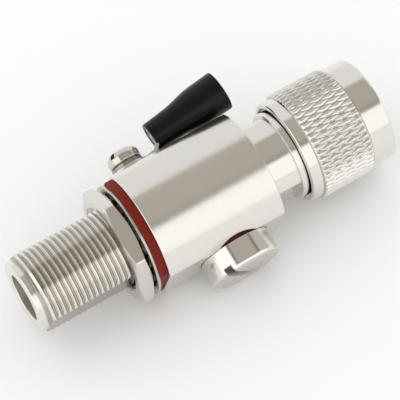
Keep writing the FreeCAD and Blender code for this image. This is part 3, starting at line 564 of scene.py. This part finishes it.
def in_slot(x, y, z):
    """Faces of the sawn slot: near its middle line, and between its floor and the rounded end."""
    turn = math.radians(SLOT_TURN)
    across = y * math.cos(turn) - (x - PORT_X) * math.sin(turn)
    return (np.abs(across) < SLOT_WIDTH / 2 + 0.02) & (z < SLOT_FLOOR + 0.02) & (z > CAP_END + 0.05)


def on_end(x, y, z):
    """Faces of the slightly domed end and of the lower half of its rounded rim."""
    return z < CAP_END + 0.45


# The faced end, turned down toward the floor, is painted greyer than the side as shade, and the sawn
# slot is painted darker still as shade in the cut.
end_shade_nickel = turned_metal("nickel plated brass, faced, painted shade", "#CFCBC5", 0.3, marks=3.0, **cap_axis)
dress_faces(cap, end_shade_nickel, on_end)
dress_faces(cap, turned_metal("nickel plated brass, slot in painted shade", "#7F7A72", 0.3), in_slot)
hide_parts("tube_cap")

# Neck
# The plug end's shell, pressed into the block: a short neck with two wrench flats
# and a round collar on which the coupling nut turns. Nickel-plated brass.

PRESS_GAP = 0.02
SPIGOT_RADIUS = 6.0
NECK_RADIUS = 7.84
NECK_CUT = NECK_RADIUS - 6.68
NECK_END = 29.0
COLLAR_RADIUS = 8.35
COLLAR_END = 36.0
RING_GROOVE_START = 33.0
RING_GROOVE_END = 34.2
RING_GROOVE_FLOOR = 7.7
CONTACT_SEAT = 31.08
CONTACT_BORE = 4.72

neck = skin("neck_shell", lathe([
    (SPIGOT_START + PRESS_GAP, LINE_RADIUS),
    (SPIGOT_START + PRESS_GAP, SPIGOT_RADIUS),
    (BODY_LENGTH + PRESS_GAP, SPIGOT_RADIUS),
    (BODY_LENGTH + PRESS_GAP, NECK_RADIUS, 0.05, NECK_CUT),
    (NECK_END, NECK_RADIUS, 0.05, NECK_CUT),
    (NECK_END, COLLAR_RADIUS, 0.3),
    (RING_GROOVE_START, COLLAR_RADIUS),
    (RING_GROOVE_START, RING_GROOVE_FLOOR),
    (RING_GROOVE_END, RING_GROOVE_FLOOR),
    (RING_GROOVE_END, COLLAR_RADIUS),
    (COLLAR_END, COLLAR_RADIUS, 0.1),
    (COLLAR_END, CONTACT_BORE),
    (CONTACT_SEAT, CONTACT_BORE),
    (CONTACT_SEAT, LINE_RADIUS),
]))
# Glossier than the block, so the card's edges are sharper on it.
neck.data.materials.append(turned_metal("nickel plated brass, bright", NICKEL, 0.14))
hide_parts("plug_neck")
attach(neck, "arrestor")

# Coupling nut
# A nickel-plated brass nut, free to turn on the collar: smooth bands at both ends, a grip rolled
# with two crossed families of grooves between them, and a 5/8 in thread inside.

NUT_REAR = 30.3
NUT_FRONT = 47.6
BAND_RADIUS = 9.73
REAR_MOUTH_FLOOR = 31.5
REAR_MOUTH_RADIUS = 8.85
COLLAR_BORE = 8.43
NUT_GROOVE_FLOOR = 8.95
NUT_SHOULDER = 36.3
NUT_BORE = 8.2
NUT_THREAD_HUB = 8.21
NUT_THREAD_RADIUS = THREAD_RADIUS + 0.03
NUT_THREAD_MINOR = 7.45
NUT_THREAD_BEVEL = 0.5
GRIP_START = 32.35
GRIP_END = 43.0
GRIP_RADIUS = 10.27
GRIP_BEVEL = 0.55
GROOVES_AROUND = 56
GROOVE_TRAVEL = 4.44
GROOVE_DEPTH = 0.36
GROOVE_PHASE = 33.3
COLUMNS_PER_GROOVE = 14
GRIP_ROWS = 64

nut = skin("coupling_shell", lathe([
    (NUT_REAR, REAR_MOUTH_RADIUS, 0.1),
    (NUT_REAR, BAND_RADIUS, 0.5),
    (NUT_FRONT, BAND_RADIUS, 0.5),
    (NUT_FRONT, NUT_BORE),
    (NUT_SHOULDER, NUT_BORE),
    (NUT_SHOULDER, COLLAR_BORE),
    (RING_GROOVE_END, COLLAR_BORE),
    (RING_GROOVE_END, NUT_GROOVE_FLOOR),
    (RING_GROOVE_START, NUT_GROOVE_FLOOR),
    (RING_GROOVE_START, COLLAR_BORE),
    (REAR_MOUTH_FLOOR, COLLAR_BORE),
    (REAR_MOUTH_FLOOR, REAR_MOUTH_RADIUS),
]))


def nut_bore(axial):
    """The least radius of the inside thread: the bore, and a bevel that opens it at the front."""
    return NUT_THREAD_MINOR + np.maximum(0, axial - NUT_FRONT + NUT_THREAD_BEVEL)


inside = skin("coupling_thread", threaded(
    NUT_SHOULDER, NUT_FRONT - 0.02, THREAD_PITCH, NUT_THREAD_RADIUS, THREAD_DEPTH, NUT_THREAD_HUB,
    low=nut_bore,
), wrap_columns=False)


def knurled():
    """The grip: radius less the deeper of two grooves, and a little of their product. A groove is a
    squared raised cosine of the angle times the count, plus or less the axial place over the travel.
    The bevels cap the radius at both ends."""
    angle = np.linspace(0, 2 * math.pi, GROOVES_AROUND * COLUMNS_PER_GROOVE, endpoint=False)
    axial = np.linspace(GRIP_START + 0.01, GRIP_END - 0.01, GRIP_ROWS)[:, None]
    phase = GROOVES_AROUND * angle / (2 * math.pi)
    reach = (axial - GROOVE_PHASE) / GROOVE_TRAVEL
    groove = [(0.5 + 0.5 * np.cos(2 * math.pi * (phase + way * reach))) ** 2 for way in (-1, 1)]
    edge = np.minimum(axial - GRIP_START, GRIP_END - axial) / GRIP_BEVEL
    bevel = BAND_RADIUS + (GRIP_RADIUS - BAND_RADIUS) * edge
    depth = GROOVE_DEPTH * (0.75 * np.maximum(*groove) + 0.25 * groove[0] * groove[1])
    radius = np.minimum(GRIP_RADIUS - depth, bevel)
    hub = np.full((1, len(angle)), BAND_RADIUS - 0.2)
    radius = np.concatenate((hub, radius, hub))
    axial = np.concatenate((axial[:1], axial, axial[-1:]))
    axial = np.broadcast_to(axial, radius.shape)
    return np.stack((axial, radius * np.cos(angle), radius * np.sin(angle)), axis=-1)


grip = skin("coupling_grip", knurled())
tidied(grip, 75)
# The bands are the glossiest metal here, with the hardest line between grey card and white strip.
nut_nickel = turned_metal("nickel plated brass, bright", NICKEL, 0.13)
# On the grip the rolled lozenges stay bright, and the grooves round them are painted greyer as shade.
GRIP_GROOVE_SHADE = ("#C2BBB1", GRIP_RADIUS - GROOVE_DEPTH, GRIP_RADIUS - 0.22)
grip_nickel = turned_metal("nickel plated brass, rolled grip", NICKEL, 0.12, groove_shade=GRIP_GROOVE_SHADE)
for piece, finish in ((nut, nut_nickel), (inside, thread_nickel), (grip, grip_nickel)):
    piece.data.materials.append(finish)
    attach(piece, "coupling")
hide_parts("coupling_nut")

# Panel gasket, tooth washer and hex nut
# What clamps the panel: a red silicone disc with two flats and a stamped steel washer with twisted
# teeth inside its rim, slipped over the barrel, and a crowned brass hex nut screwed on its thread.

GASKET_FRONT = -1.4
GASKET_RADIUS = 11.2
GASKET_CUT = GASKET_RADIUS - 9.6
GASKET_BORE = 7.97

gasket = skin("red_gasket", lathe([
    (GASKET_FRONT, GASKET_BORE),
    (GASKET_FRONT, GASKET_RADIUS, 0.12, GASKET_CUT),
    (0, GASKET_RADIUS, 0.12, GASKET_CUT),
    (0, GASKET_BORE),
]))
gasket.data.materials.append(red)
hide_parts("panel_gasket")
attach(gasket, "arrestor")

WASHER_RADIUS = 10.5
WASHER_BORE = 9.15
WASHER_BACK = -1.4
WASHER_FRONT = -1.95
TOOTH_COUNT = 16
TOOTH_HALF_WIDTH = 0.85
TOOTH_TIP = 8.15
TOOTH_ROOT = 9.3
TOOTH_LIFT = 0.38

rim = skin("washer_rim", lathe([
    (WASHER_BACK, WASHER_BORE, 0.08),
    (WASHER_BACK, WASHER_RADIUS, 0.12),
    (WASHER_FRONT, WASHER_RADIUS, 0.12),
    (WASHER_FRONT, WASHER_BORE, 0.08),
]))


def teeth():
    """Sheared boxes round the axis: each reaches inward, and one edge is lifted toward the nut.
    Each is turned by its angle: y = width cos - height sin and z = width sin + height cos."""
    corner = np.array([(a, b, c) for a in (0, 1) for b in (-1, 1) for c in (0, 1)], float)
    width = corner[:, 1] * TOOTH_HALF_WIDTH
    height = np.where(corner[:, 2] == 0, TOOTH_TIP, TOOTH_ROOT)
    lift = np.where(corner[:, 1] < 0, -TOOTH_LIFT, 0.0)
    axial = np.where(corner[:, 0] == 0, WASHER_BACK, WASHER_FRONT) + lift
    angle = np.linspace(0, 2 * math.pi, TOOTH_COUNT, endpoint=False)[:, None]
    y = width * np.cos(angle) - height * np.sin(angle)
    z = width * np.sin(angle) + height * np.cos(angle)
    spots = np.stack((np.broadcast_to(axial, y.shape), y, z), axis=-1).reshape(-1, 3)
    faces = (BOX_FACES + 8 * np.arange(TOOTH_COUNT)[:, None, None]).reshape(-1, 4)
    return finished("washer_teeth", laid(spots), faces)


# A thin bright steel rim, and teeth painted dark brown as shade in the gap behind the nut and tinted red
# as a painted reflection of the gasket, so their sheared faces read as a dark comb.
washer_steel = turned_metal("zinc plated steel, stamped", "#C9C6BF", 0.25)
tooth_shade_steel = turned_metal("sheared steel, painted shade", "#5C4A40", 0.35)
for piece, finish in ((rim, washer_steel), (teeth(), tooth_shade_steel)):
    piece.data.materials.append(finish)
    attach(piece, "washer")
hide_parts("tooth_washer")

HEX_ACROSS = 19.05
HEX_TURN = 25.2
HEX_FRONT = -5.15
HEX_BACK = -2.35
HEX_BORE = 8.2
HEX_LEAD_RADIUS = 8.27
HEX_THREAD_HUB = 8.3
HEX_EDGE = 0.2
CROWN_RADIUS = 9.42
CROWN_DROP = 0.65


def hexagon():
    """Radius of the nut's side by angle: half the width over the cosine within each face, and a small
    round at each corner."""
    step = math.radians(60)
    angle = np.linspace(0, 2 * math.pi, 360, endpoint=False)
    within = (angle + step / 2) % step - step / 2
    side = HEX_ACROSS / 2 / np.cos(within)
    corner = HEX_ACROSS / 2 / math.cos(step / 2)
    return angle, np.minimum(side, corner - HEX_EDGE / 2)


def hex_shell():
    """The nut: rows run from the bore over the front crown, the side and the back crown.
    The crowns are cones, so the side of each face starts later toward its corners. Rows close to
    an edge, by the hold, keep the faces beside it evenly shaded."""
    angle, side = hexagon()
    slope = CROWN_DROP / (HEX_ACROSS / 2 / math.cos(math.radians(30)) - CROWN_RADIUS)
    drop = slope * (side - CROWN_RADIUS)
    hold = 0.06
    even = np.ones_like(angle)
    rows = [
        (HEX_FRONT * even, HEX_BORE * even),
        (HEX_FRONT * even, (CROWN_RADIUS - hold) * even),
        (HEX_FRONT * even, CROWN_RADIUS * even),
        (HEX_FRONT + drop * 0.9, CROWN_RADIUS + (side - CROWN_RADIUS) * 0.9),
        (HEX_FRONT + drop, side - 0.02),
        (HEX_FRONT + drop + hold, side),
        (HEX_BACK - drop - hold, side),
        (HEX_BACK - drop, side - 0.02),
        (HEX_BACK - drop * 0.9, CROWN_RADIUS + (side - CROWN_RADIUS) * 0.9),
        (HEX_BACK * even, CROWN_RADIUS * even),
        (HEX_BACK * even, (CROWN_RADIUS - hold) * even),
        (HEX_BACK * even, HEX_BORE * even),
    ]
    axial, radius = (np.array(part) for part in zip(*rows))
    spin = angle + math.radians(90 - HEX_TURN)
    return np.stack((axial, radius * np.cos(spin), radius * np.sin(spin)), axis=-1)


def hex_bore(axial):
    """The least radius of the inside thread: the bore, and a bevel that opens it at both faces."""
    inward = np.minimum(axial - HEX_FRONT, HEX_BACK - axial)
    return np.maximum(NUT_THREAD_MINOR, HEX_LEAD_RADIUS - inward)


hex_nut = skin("panel_nut_shell", hex_shell())
tidied(hex_nut, 25)
hex_thread = skin("panel_nut_thread", threaded(
    HEX_FRONT + 0.02, HEX_BACK - 0.02, THREAD_PITCH, NUT_THREAD_RADIUS, THREAD_DEPTH, HEX_THREAD_HUB,
    low=hex_bore,
), wrap_columns=False)
# A little greyer than the turned faces, so the hex stands off the block.
hex_nickel = turned_metal("nickel plated brass, milled hex", "#DDD9D3", 0.17)
for piece in (hex_nut, hex_thread):
    piece.data.materials.append(hex_nickel)
    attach(piece, "panel_nut")
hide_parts("hex_nut")

# Earth screw and spring washer
# A domed cross-recessed screw in the tapped hole on top, with a split spring washer
# under its head that keeps the lug tight. Both are plated steel.

SCREW_TIP = 6.04
SCREW_CORE = 1.1
SCREW_LEAD_RADIUS = 1.15
SCREW_THREAD_RADIUS = 1.45
SCREW_THREAD_PITCH = 0.5
SCREW_THREAD_DEPTH = 0.3
SCREW_THREAD_HUB = 0.9
HEAD_SEAT = 12.04
HEAD_RADIUS = 3.05
RIM_TOP = HEAD_SEAT + 1.25
HEAD_TOP = RIM_TOP + 1.4
# Height over the rim, radius and rounding along the dome.
DOME = ((0.49, 2.86, 0.2), (0.95, 2.38, 0.3), (1.29, 1.5, 0.4))
RECESS_WIDTH = 0.9
RECESS_TURN = 44.0
# Length, width and height of the boxes cut about the head's top: one long and shallow, and across
# it one short and deep that narrows downward by its taper.
STRAIGHT_BOX = (6.6, RECESS_WIDTH, 2.6)
CROSS_BOX = (4.4, RECESS_WIDTH, 3.4)
CROSS_TAPER = 0.4

screw = skin("screw_head", on_z(lathe([
    (SCREW_TIP, 0),
    (SCREW_TIP, SCREW_CORE),
    (HEAD_SEAT, SCREW_CORE),
    (HEAD_SEAT, HEAD_RADIUS, 0.3),
    (RIM_TOP, HEAD_RADIUS, 0.2),
    *((RIM_TOP + rise, radius, rounding) for rise, radius, rounding in DOME),
    (HEAD_TOP, 0),
]), EARTH_X), wrap_rows=False)
head_top = (EARTH_X, 0, HEAD_TOP)
straight = box_tool("straight_recess", head_top, STRAIGHT_BOX, RECESS_TURN)
across = box_tool("cross_recess", head_top, CROSS_BOX, RECESS_TURN + 90, CROSS_TAPER)
cut_by(screw, straight, across)
eased(screw, 0.05)


def screw_lead(height):
    """The bevel at the screw's tip: the radius grows with the height."""
    return SCREW_LEAD_RADIUS + np.maximum(0, height - SCREW_TIP)


screw_thread = skin("screw_thread", on_z(threaded(
    SCREW_TIP, HEAD_SEAT - 0.2, SCREW_THREAD_PITCH, SCREW_THREAD_RADIUS, SCREW_THREAD_DEPTH,
    SCREW_THREAD_HUB, high=screw_lead,
), EARTH_X), wrap_columns=False)
# Bright plating on a cold-headed screw: small hard lights on the dome.
screw_axis = {"centre": (EARTH_X, 0, 0), "axis": (0, -ROLL_SIN, ROLL_COS)}
screw_steel = turned_metal("nickel plated steel screw", "#D6D2C9", 0.18, **screw_axis)
for piece in (screw, screw_thread):
    piece.data.materials.append(screw_steel)
    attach(piece, "screw")
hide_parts("earth_screw")


def in_recess(x, y, z):
    """Faces of the driver recess: above the rim and well inside the dome's radius at their height."""
    rises, radii, _ = zip(*DOME)
    height = [RIM_TOP, *(RIM_TOP + rise for rise in rises), HEAD_TOP]
    dome = np.interp(z, height, [HEAD_RADIUS, *radii, 0])
    return (z > RIM_TOP + 0.05) & (np.hypot(x - EARTH_X, y) < dome - 0.15)


# The recess is painted near black as shade, so the cross reads dark.
dress_faces(screw, turned_metal("steel screw recess, painted shade", "#3B3833", 0.4), in_recess)

SPLIT_RADIUS = 3.03
SPLIT_BORE = 1.6
SPLIT_FOOT = 11.09
SPLIT_TOP = 12.0
SPLIT_BEVEL = 0.2
SPLIT_GAP = 0.5
SPLIT_TURN = 20.0


def split_ring():
    """A ring of square section that stops short of closing: rows go round from one side of the gap
    to the other, half the gap's angle off its middle, and the first and last are shrunk to the
    section's middle to close it."""
    gap = math.degrees(SPLIT_GAP / 2 / 2.3)
    angle = np.radians(np.linspace(SPLIT_TURN + gap, SPLIT_TURN + 360 - gap, 120))
    angle = np.concatenate((angle[:1], angle, angle[-1:]))[:, None]
    inner, outer = SPLIT_BORE + SPLIT_BEVEL, SPLIT_RADIUS - SPLIT_BEVEL
    lower, upper = SPLIT_FOOT + SPLIT_BEVEL, SPLIT_TOP - SPLIT_BEVEL
    radius = np.array([inner, outer, SPLIT_RADIUS, SPLIT_RADIUS, outer, inner, SPLIT_BORE, SPLIT_BORE])
    height = np.array([SPLIT_FOOT, SPLIT_FOOT, lower, upper, SPLIT_TOP, SPLIT_TOP, upper, lower])
    radius, height = (np.tile(part, (len(angle), 1)) for part in (radius, height))
    radius[[0, -1]] = (SPLIT_RADIUS + SPLIT_BORE) / 2
    height[[0, -1]] = (SPLIT_FOOT + SPLIT_TOP) / 2
    return np.stack((EARTH_X + radius * np.cos(angle), radius * np.sin(angle), height), axis=-1)


split = skin("split_washer", split_ring(), wrap_rows=False)
# Greyer than the head above it, which keeps the two apart.
spring_steel = turned_metal("nickel plated spring steel", "#A29C92", 0.22, **screw_axis)
split.data.materials.append(spring_steel)
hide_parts("spring_washer")
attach(split, "screw_washer")

# Ring lug and sleeve
# A tinned copper lug: one stamped sheet, flat round the screw, bent up into the barrel
# that is crimped on the earth wire. A black vinyl sleeve with a flared end covers the barrel.

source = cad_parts["ring_lug"]
lug = bpy.data.objects.new("stamped_lug", source.data.copy())
bpy.context.scene.collection.objects.link(lug)
work = bmesh.new()
work.from_mesh(lug.data)
bmesh.ops.remove_doubles(work, verts=work.verts, dist=1e-6)
bmesh.ops.dissolve_limit(work, angle_limit=math.radians(1), verts=work.verts, edges=work.edges)
work.to_mesh(lug.data)
work.free()
eased(lug, 0.12, 40)
lug.data.materials.clear()
# Dipped tin: paler and softer than the nickel, with faint clouds.
lug.data.materials.append(grained("tinned copper sheet, stamped", "#D9D7D2", 0.28, 1.0))
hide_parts("ring_lug")
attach(lug, "lug")

SWIVEL = math.radians(-6.5)
SLEEVE_START = 6.45
SLEEVE_HEIGHT = 3.58
SLEEVE_RISE = math.radians(4.76)
SLEEVE_BORE = 2.22
SLEEVE_LIP = -0.45
SLEEVE_END = 14.5


def on_lug(grid):
    """Stand a grid of (axial, u, v) on the sleeve's axis: tilted up from the flat by the rise,
    x = start + axial cos - v sin and z = height + axial sin + v cos, then swung about the screw."""
    axial, y, v = np.moveaxis(grid, -1, 0)
    x = SLEEVE_START + axial * math.cos(SLEEVE_RISE) - v * math.sin(SLEEVE_RISE)
    z = SLEEVE_HEIGHT + axial * math.sin(SLEEVE_RISE) + v * math.cos(SLEEVE_RISE)
    swung_x = x * math.cos(SWIVEL) - y * math.sin(SWIVEL)
    swung_y = x * math.sin(SWIVEL) + y * math.cos(SWIVEL)
    return np.stack((EARTH_X + swung_x, swung_y, BODY_HALF_FLATS + z), axis=-1)


sleeve = skin("vinyl_sleeve", on_lug(lathe([
    (-0.32, SLEEVE_BORE),
    (-0.32, 1.95),
    (SLEEVE_LIP, 1.95, 0.04),
    (SLEEVE_LIP, 2.7, 0.15),
    (5.0, 2.95, 1.2),
    (9.0, 3.65, 1.2),
    (SLEEVE_END, 3.75, 0.2),
    (SLEEVE_END, 3.0, 0.1),
    (9.0, 2.9, 0.6),
    (6.7, SLEEVE_BORE),
])))


def vinyl():
    """Soft black vinyl: a faint waviness from moulding, no texture of its own."""
    material, tree, shader, spot = blank("black vinyl sleeve, moulded")
    shader.inputs["Base Color"].default_value = linear("#0B0C0D")
    shader.inputs["Specular IOR Level"].default_value = 0.22
    waves = add(tree, "TexNoise", {"Vector": spot}, {"Scale": 0.5, "Detail": 2.0})
    gloss = add(tree, "MapRange", {"Value": waves.outputs[0]}, {"To Min": 0.24, "To Max": 0.36})
    tree.links.new(gloss.outputs[0], shader.inputs["Roughness"])
    return material


sleeve.data.materials.append(vinyl())
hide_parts("lug_sleeve")
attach(sleeve, "lug")

# Floor, studio and camera
# A plain pale floor under the object. Metal sees a pale room with a taupe card above it
# and a brighter strip low in front; everything else is lit by an even white.

FLOOR_HEIGHT = -0.01163
FLOOR_SIZE = 2.0
corners = np.array([(-1, -1), (1, -1), (1, 1), (-1, 1)]) * FLOOR_SIZE
floor_mesh = bpy.data.meshes.new("floor")
floor_mesh.from_pydata([(x, y, FLOOR_HEIGHT) for x, y in corners], [], [(0, 1, 2, 3)])
floor = bpy.data.objects.new("floor", floor_mesh)
bpy.context.scene.collection.objects.link(floor)
# White paper, dull enough to take only the soft shadow.
paper, _, shader, _ = blank("pale floor")
shader.inputs["Base Color"].default_value = linear("#FFFFFF")
shader.inputs["Roughness"].default_value = 0.9
floor_mesh.materials.append(paper)

world = bpy.data.worlds.new("studio")
bpy.context.scene.world = world
world.use_nodes = True
sky = world.node_tree
background = sky.nodes["Background"]
way = add(sky, "TexCoord").outputs["Generated"]


def component(direction):
    """How far the looking direction points along one direction of the upright object."""
    arm = [float(part) * 1000 for part in laid(direction)]
    return add(sky, "VectorMath", {0: way}, {1: arm}, operation="DOT_PRODUCT").outputs["Value"]


def angle_of(over, under):
    """The angle whose tangent is one component over another, in degrees."""
    turn = add(sky, "Math", {0: over, 1: under}, operation="ARCTAN2")
    return add(sky, "Math", {0: turn.outputs[0]}, operation="DEGREES").outputs[0]


def zone(limits):
    """The share of a direction within limits of (value, start, end): each limit goes from 0 to 1 as
    its value goes from start to end, with soft ends, and the limits are multiplied."""
    share = None
    for value, start, end in limits:
        reach = {"From Min": start, "From Max": end}
        edge = add(sky, "MapRange", {"Value": value}, reach, interpolation_type="SMOOTHSTEP")
        both = {0: share, 1: edge.outputs[0]}
        share = add(sky, "Math", both, operation="MULTIPLY").outputs[0] if share else edge.outputs[0]
    return share


front = component((0, -1, 0))
above = component((0, 0, 1))
ahead = component((1, 0, 0))
aside = component((0, 1, 0))
around = angle_of(above, front)
azimuth = angle_of(aside, ahead)

# The zones of the studio by two angles, in degrees: round the object's length, 0 in front and 90
# above, and round its upright axis, 0 toward the plug and -90 in front.
card_band = ((around, -20, -12), (around, 54, 46))
low_band = ((above, 0.4, 0.25), (above, -0.1, 0.0))
card = (*card_band, (azimuth, -126, -122), (azimuth, -44, -50))
strip = ((around, -67, -61), (around, -6, -14))
left = ((azimuth, -122, -126), (above, 0.5, 0.4))
wall = (*low_band, (azimuth, -44, -34), (azimuth, 100, 0))
left_edge = (*card_band, (azimuth, -125, -122), (azimuth, -114, -119))
right_edge = (*low_band, (azimuth, -50, -47), (azimuth, -36, -41))
low_edge = (*card, (around, -2, -8))

# What metal sees, each zone painted over the ones before it: the strip gives the white band low on
# every round piece, the wall a grey side to the cap, the left a white one, and the card the taupe
# band along the block. The card's darker edges are the thin lines that end its band.
PALE_ROOM = (0.88, 0.88, 0.88, 1)
painted = {}
for limits, tone in (
    (strip, (1.22, 1.215, 1.205, 1)),
    (wall, (0.56, 0.55, 0.54, 1)),
    (left, (1.35, 1.35, 1.35, 1)),
    (card, (0.49, 0.462, 0.41, 1)),
    (low_edge, (0.38, 0.36, 0.32, 1)),
    (left_edge, (0.17, 0.15, 0.13, 1)),
    (right_edge, (0.2, 0.19, 0.18, 1)),
):
    tones = {6: PALE_ROOM, 7: tone}
    coat = add(sky, "Mix", {"Factor": zone(limits), **painted}, tones, data_type="RGBA")
    painted = {6: coat.outputs[2]}
path = add(sky, "LightPath")
mirrored = {0: path.outputs["Is Glossy Ray"], 1: path.outputs["Is Transmission Ray"]}
mirror = add(sky, "Math", mirrored, operation="MAXIMUM")
shown = {"Factor": mirror.outputs[0], 7: painted[6]}
seen = add(sky, "Mix", shown, {6: (1, 1, 1, 1)}, data_type="RGBA")
sky.links.new(seen.outputs[2], background.inputs["Color"])
background.inputs["Strength"].default_value = 1.0

# The photograph's camera, in upright millimetres: its place, and which ways are right, up and back.
CAMERA_PLACE = (-93.57, -419.61, -80.71)
CAMERA_RIGHT = (0.8485, -0.116, -0.5162)
CAMERA_UP = (0.4706, -0.2804, 0.8366)
CAMERA_BACK = (-0.2418, -0.9528, -0.1833)

view = bpy.data.cameras.new("photograph")
camera = bpy.data.objects.new("photograph", view)
bpy.context.scene.collection.objects.link(camera)
view.lens = 227.46
view.sensor_width = 36.0
view.clip_start = 0.01
view.clip_end = 10.0
matrix = np.eye(4)
matrix[:3, :3] = (laid([CAMERA_RIGHT, CAMERA_UP, CAMERA_BACK]) * 1000).T
matrix[:3, 3] = laid(CAMERA_PLACE)
camera.matrix_world = mathutils.Matrix(matrix)
bpy.context.scene.camera = camera
bpy.context.scene.view_settings.view_transform = "Standard"
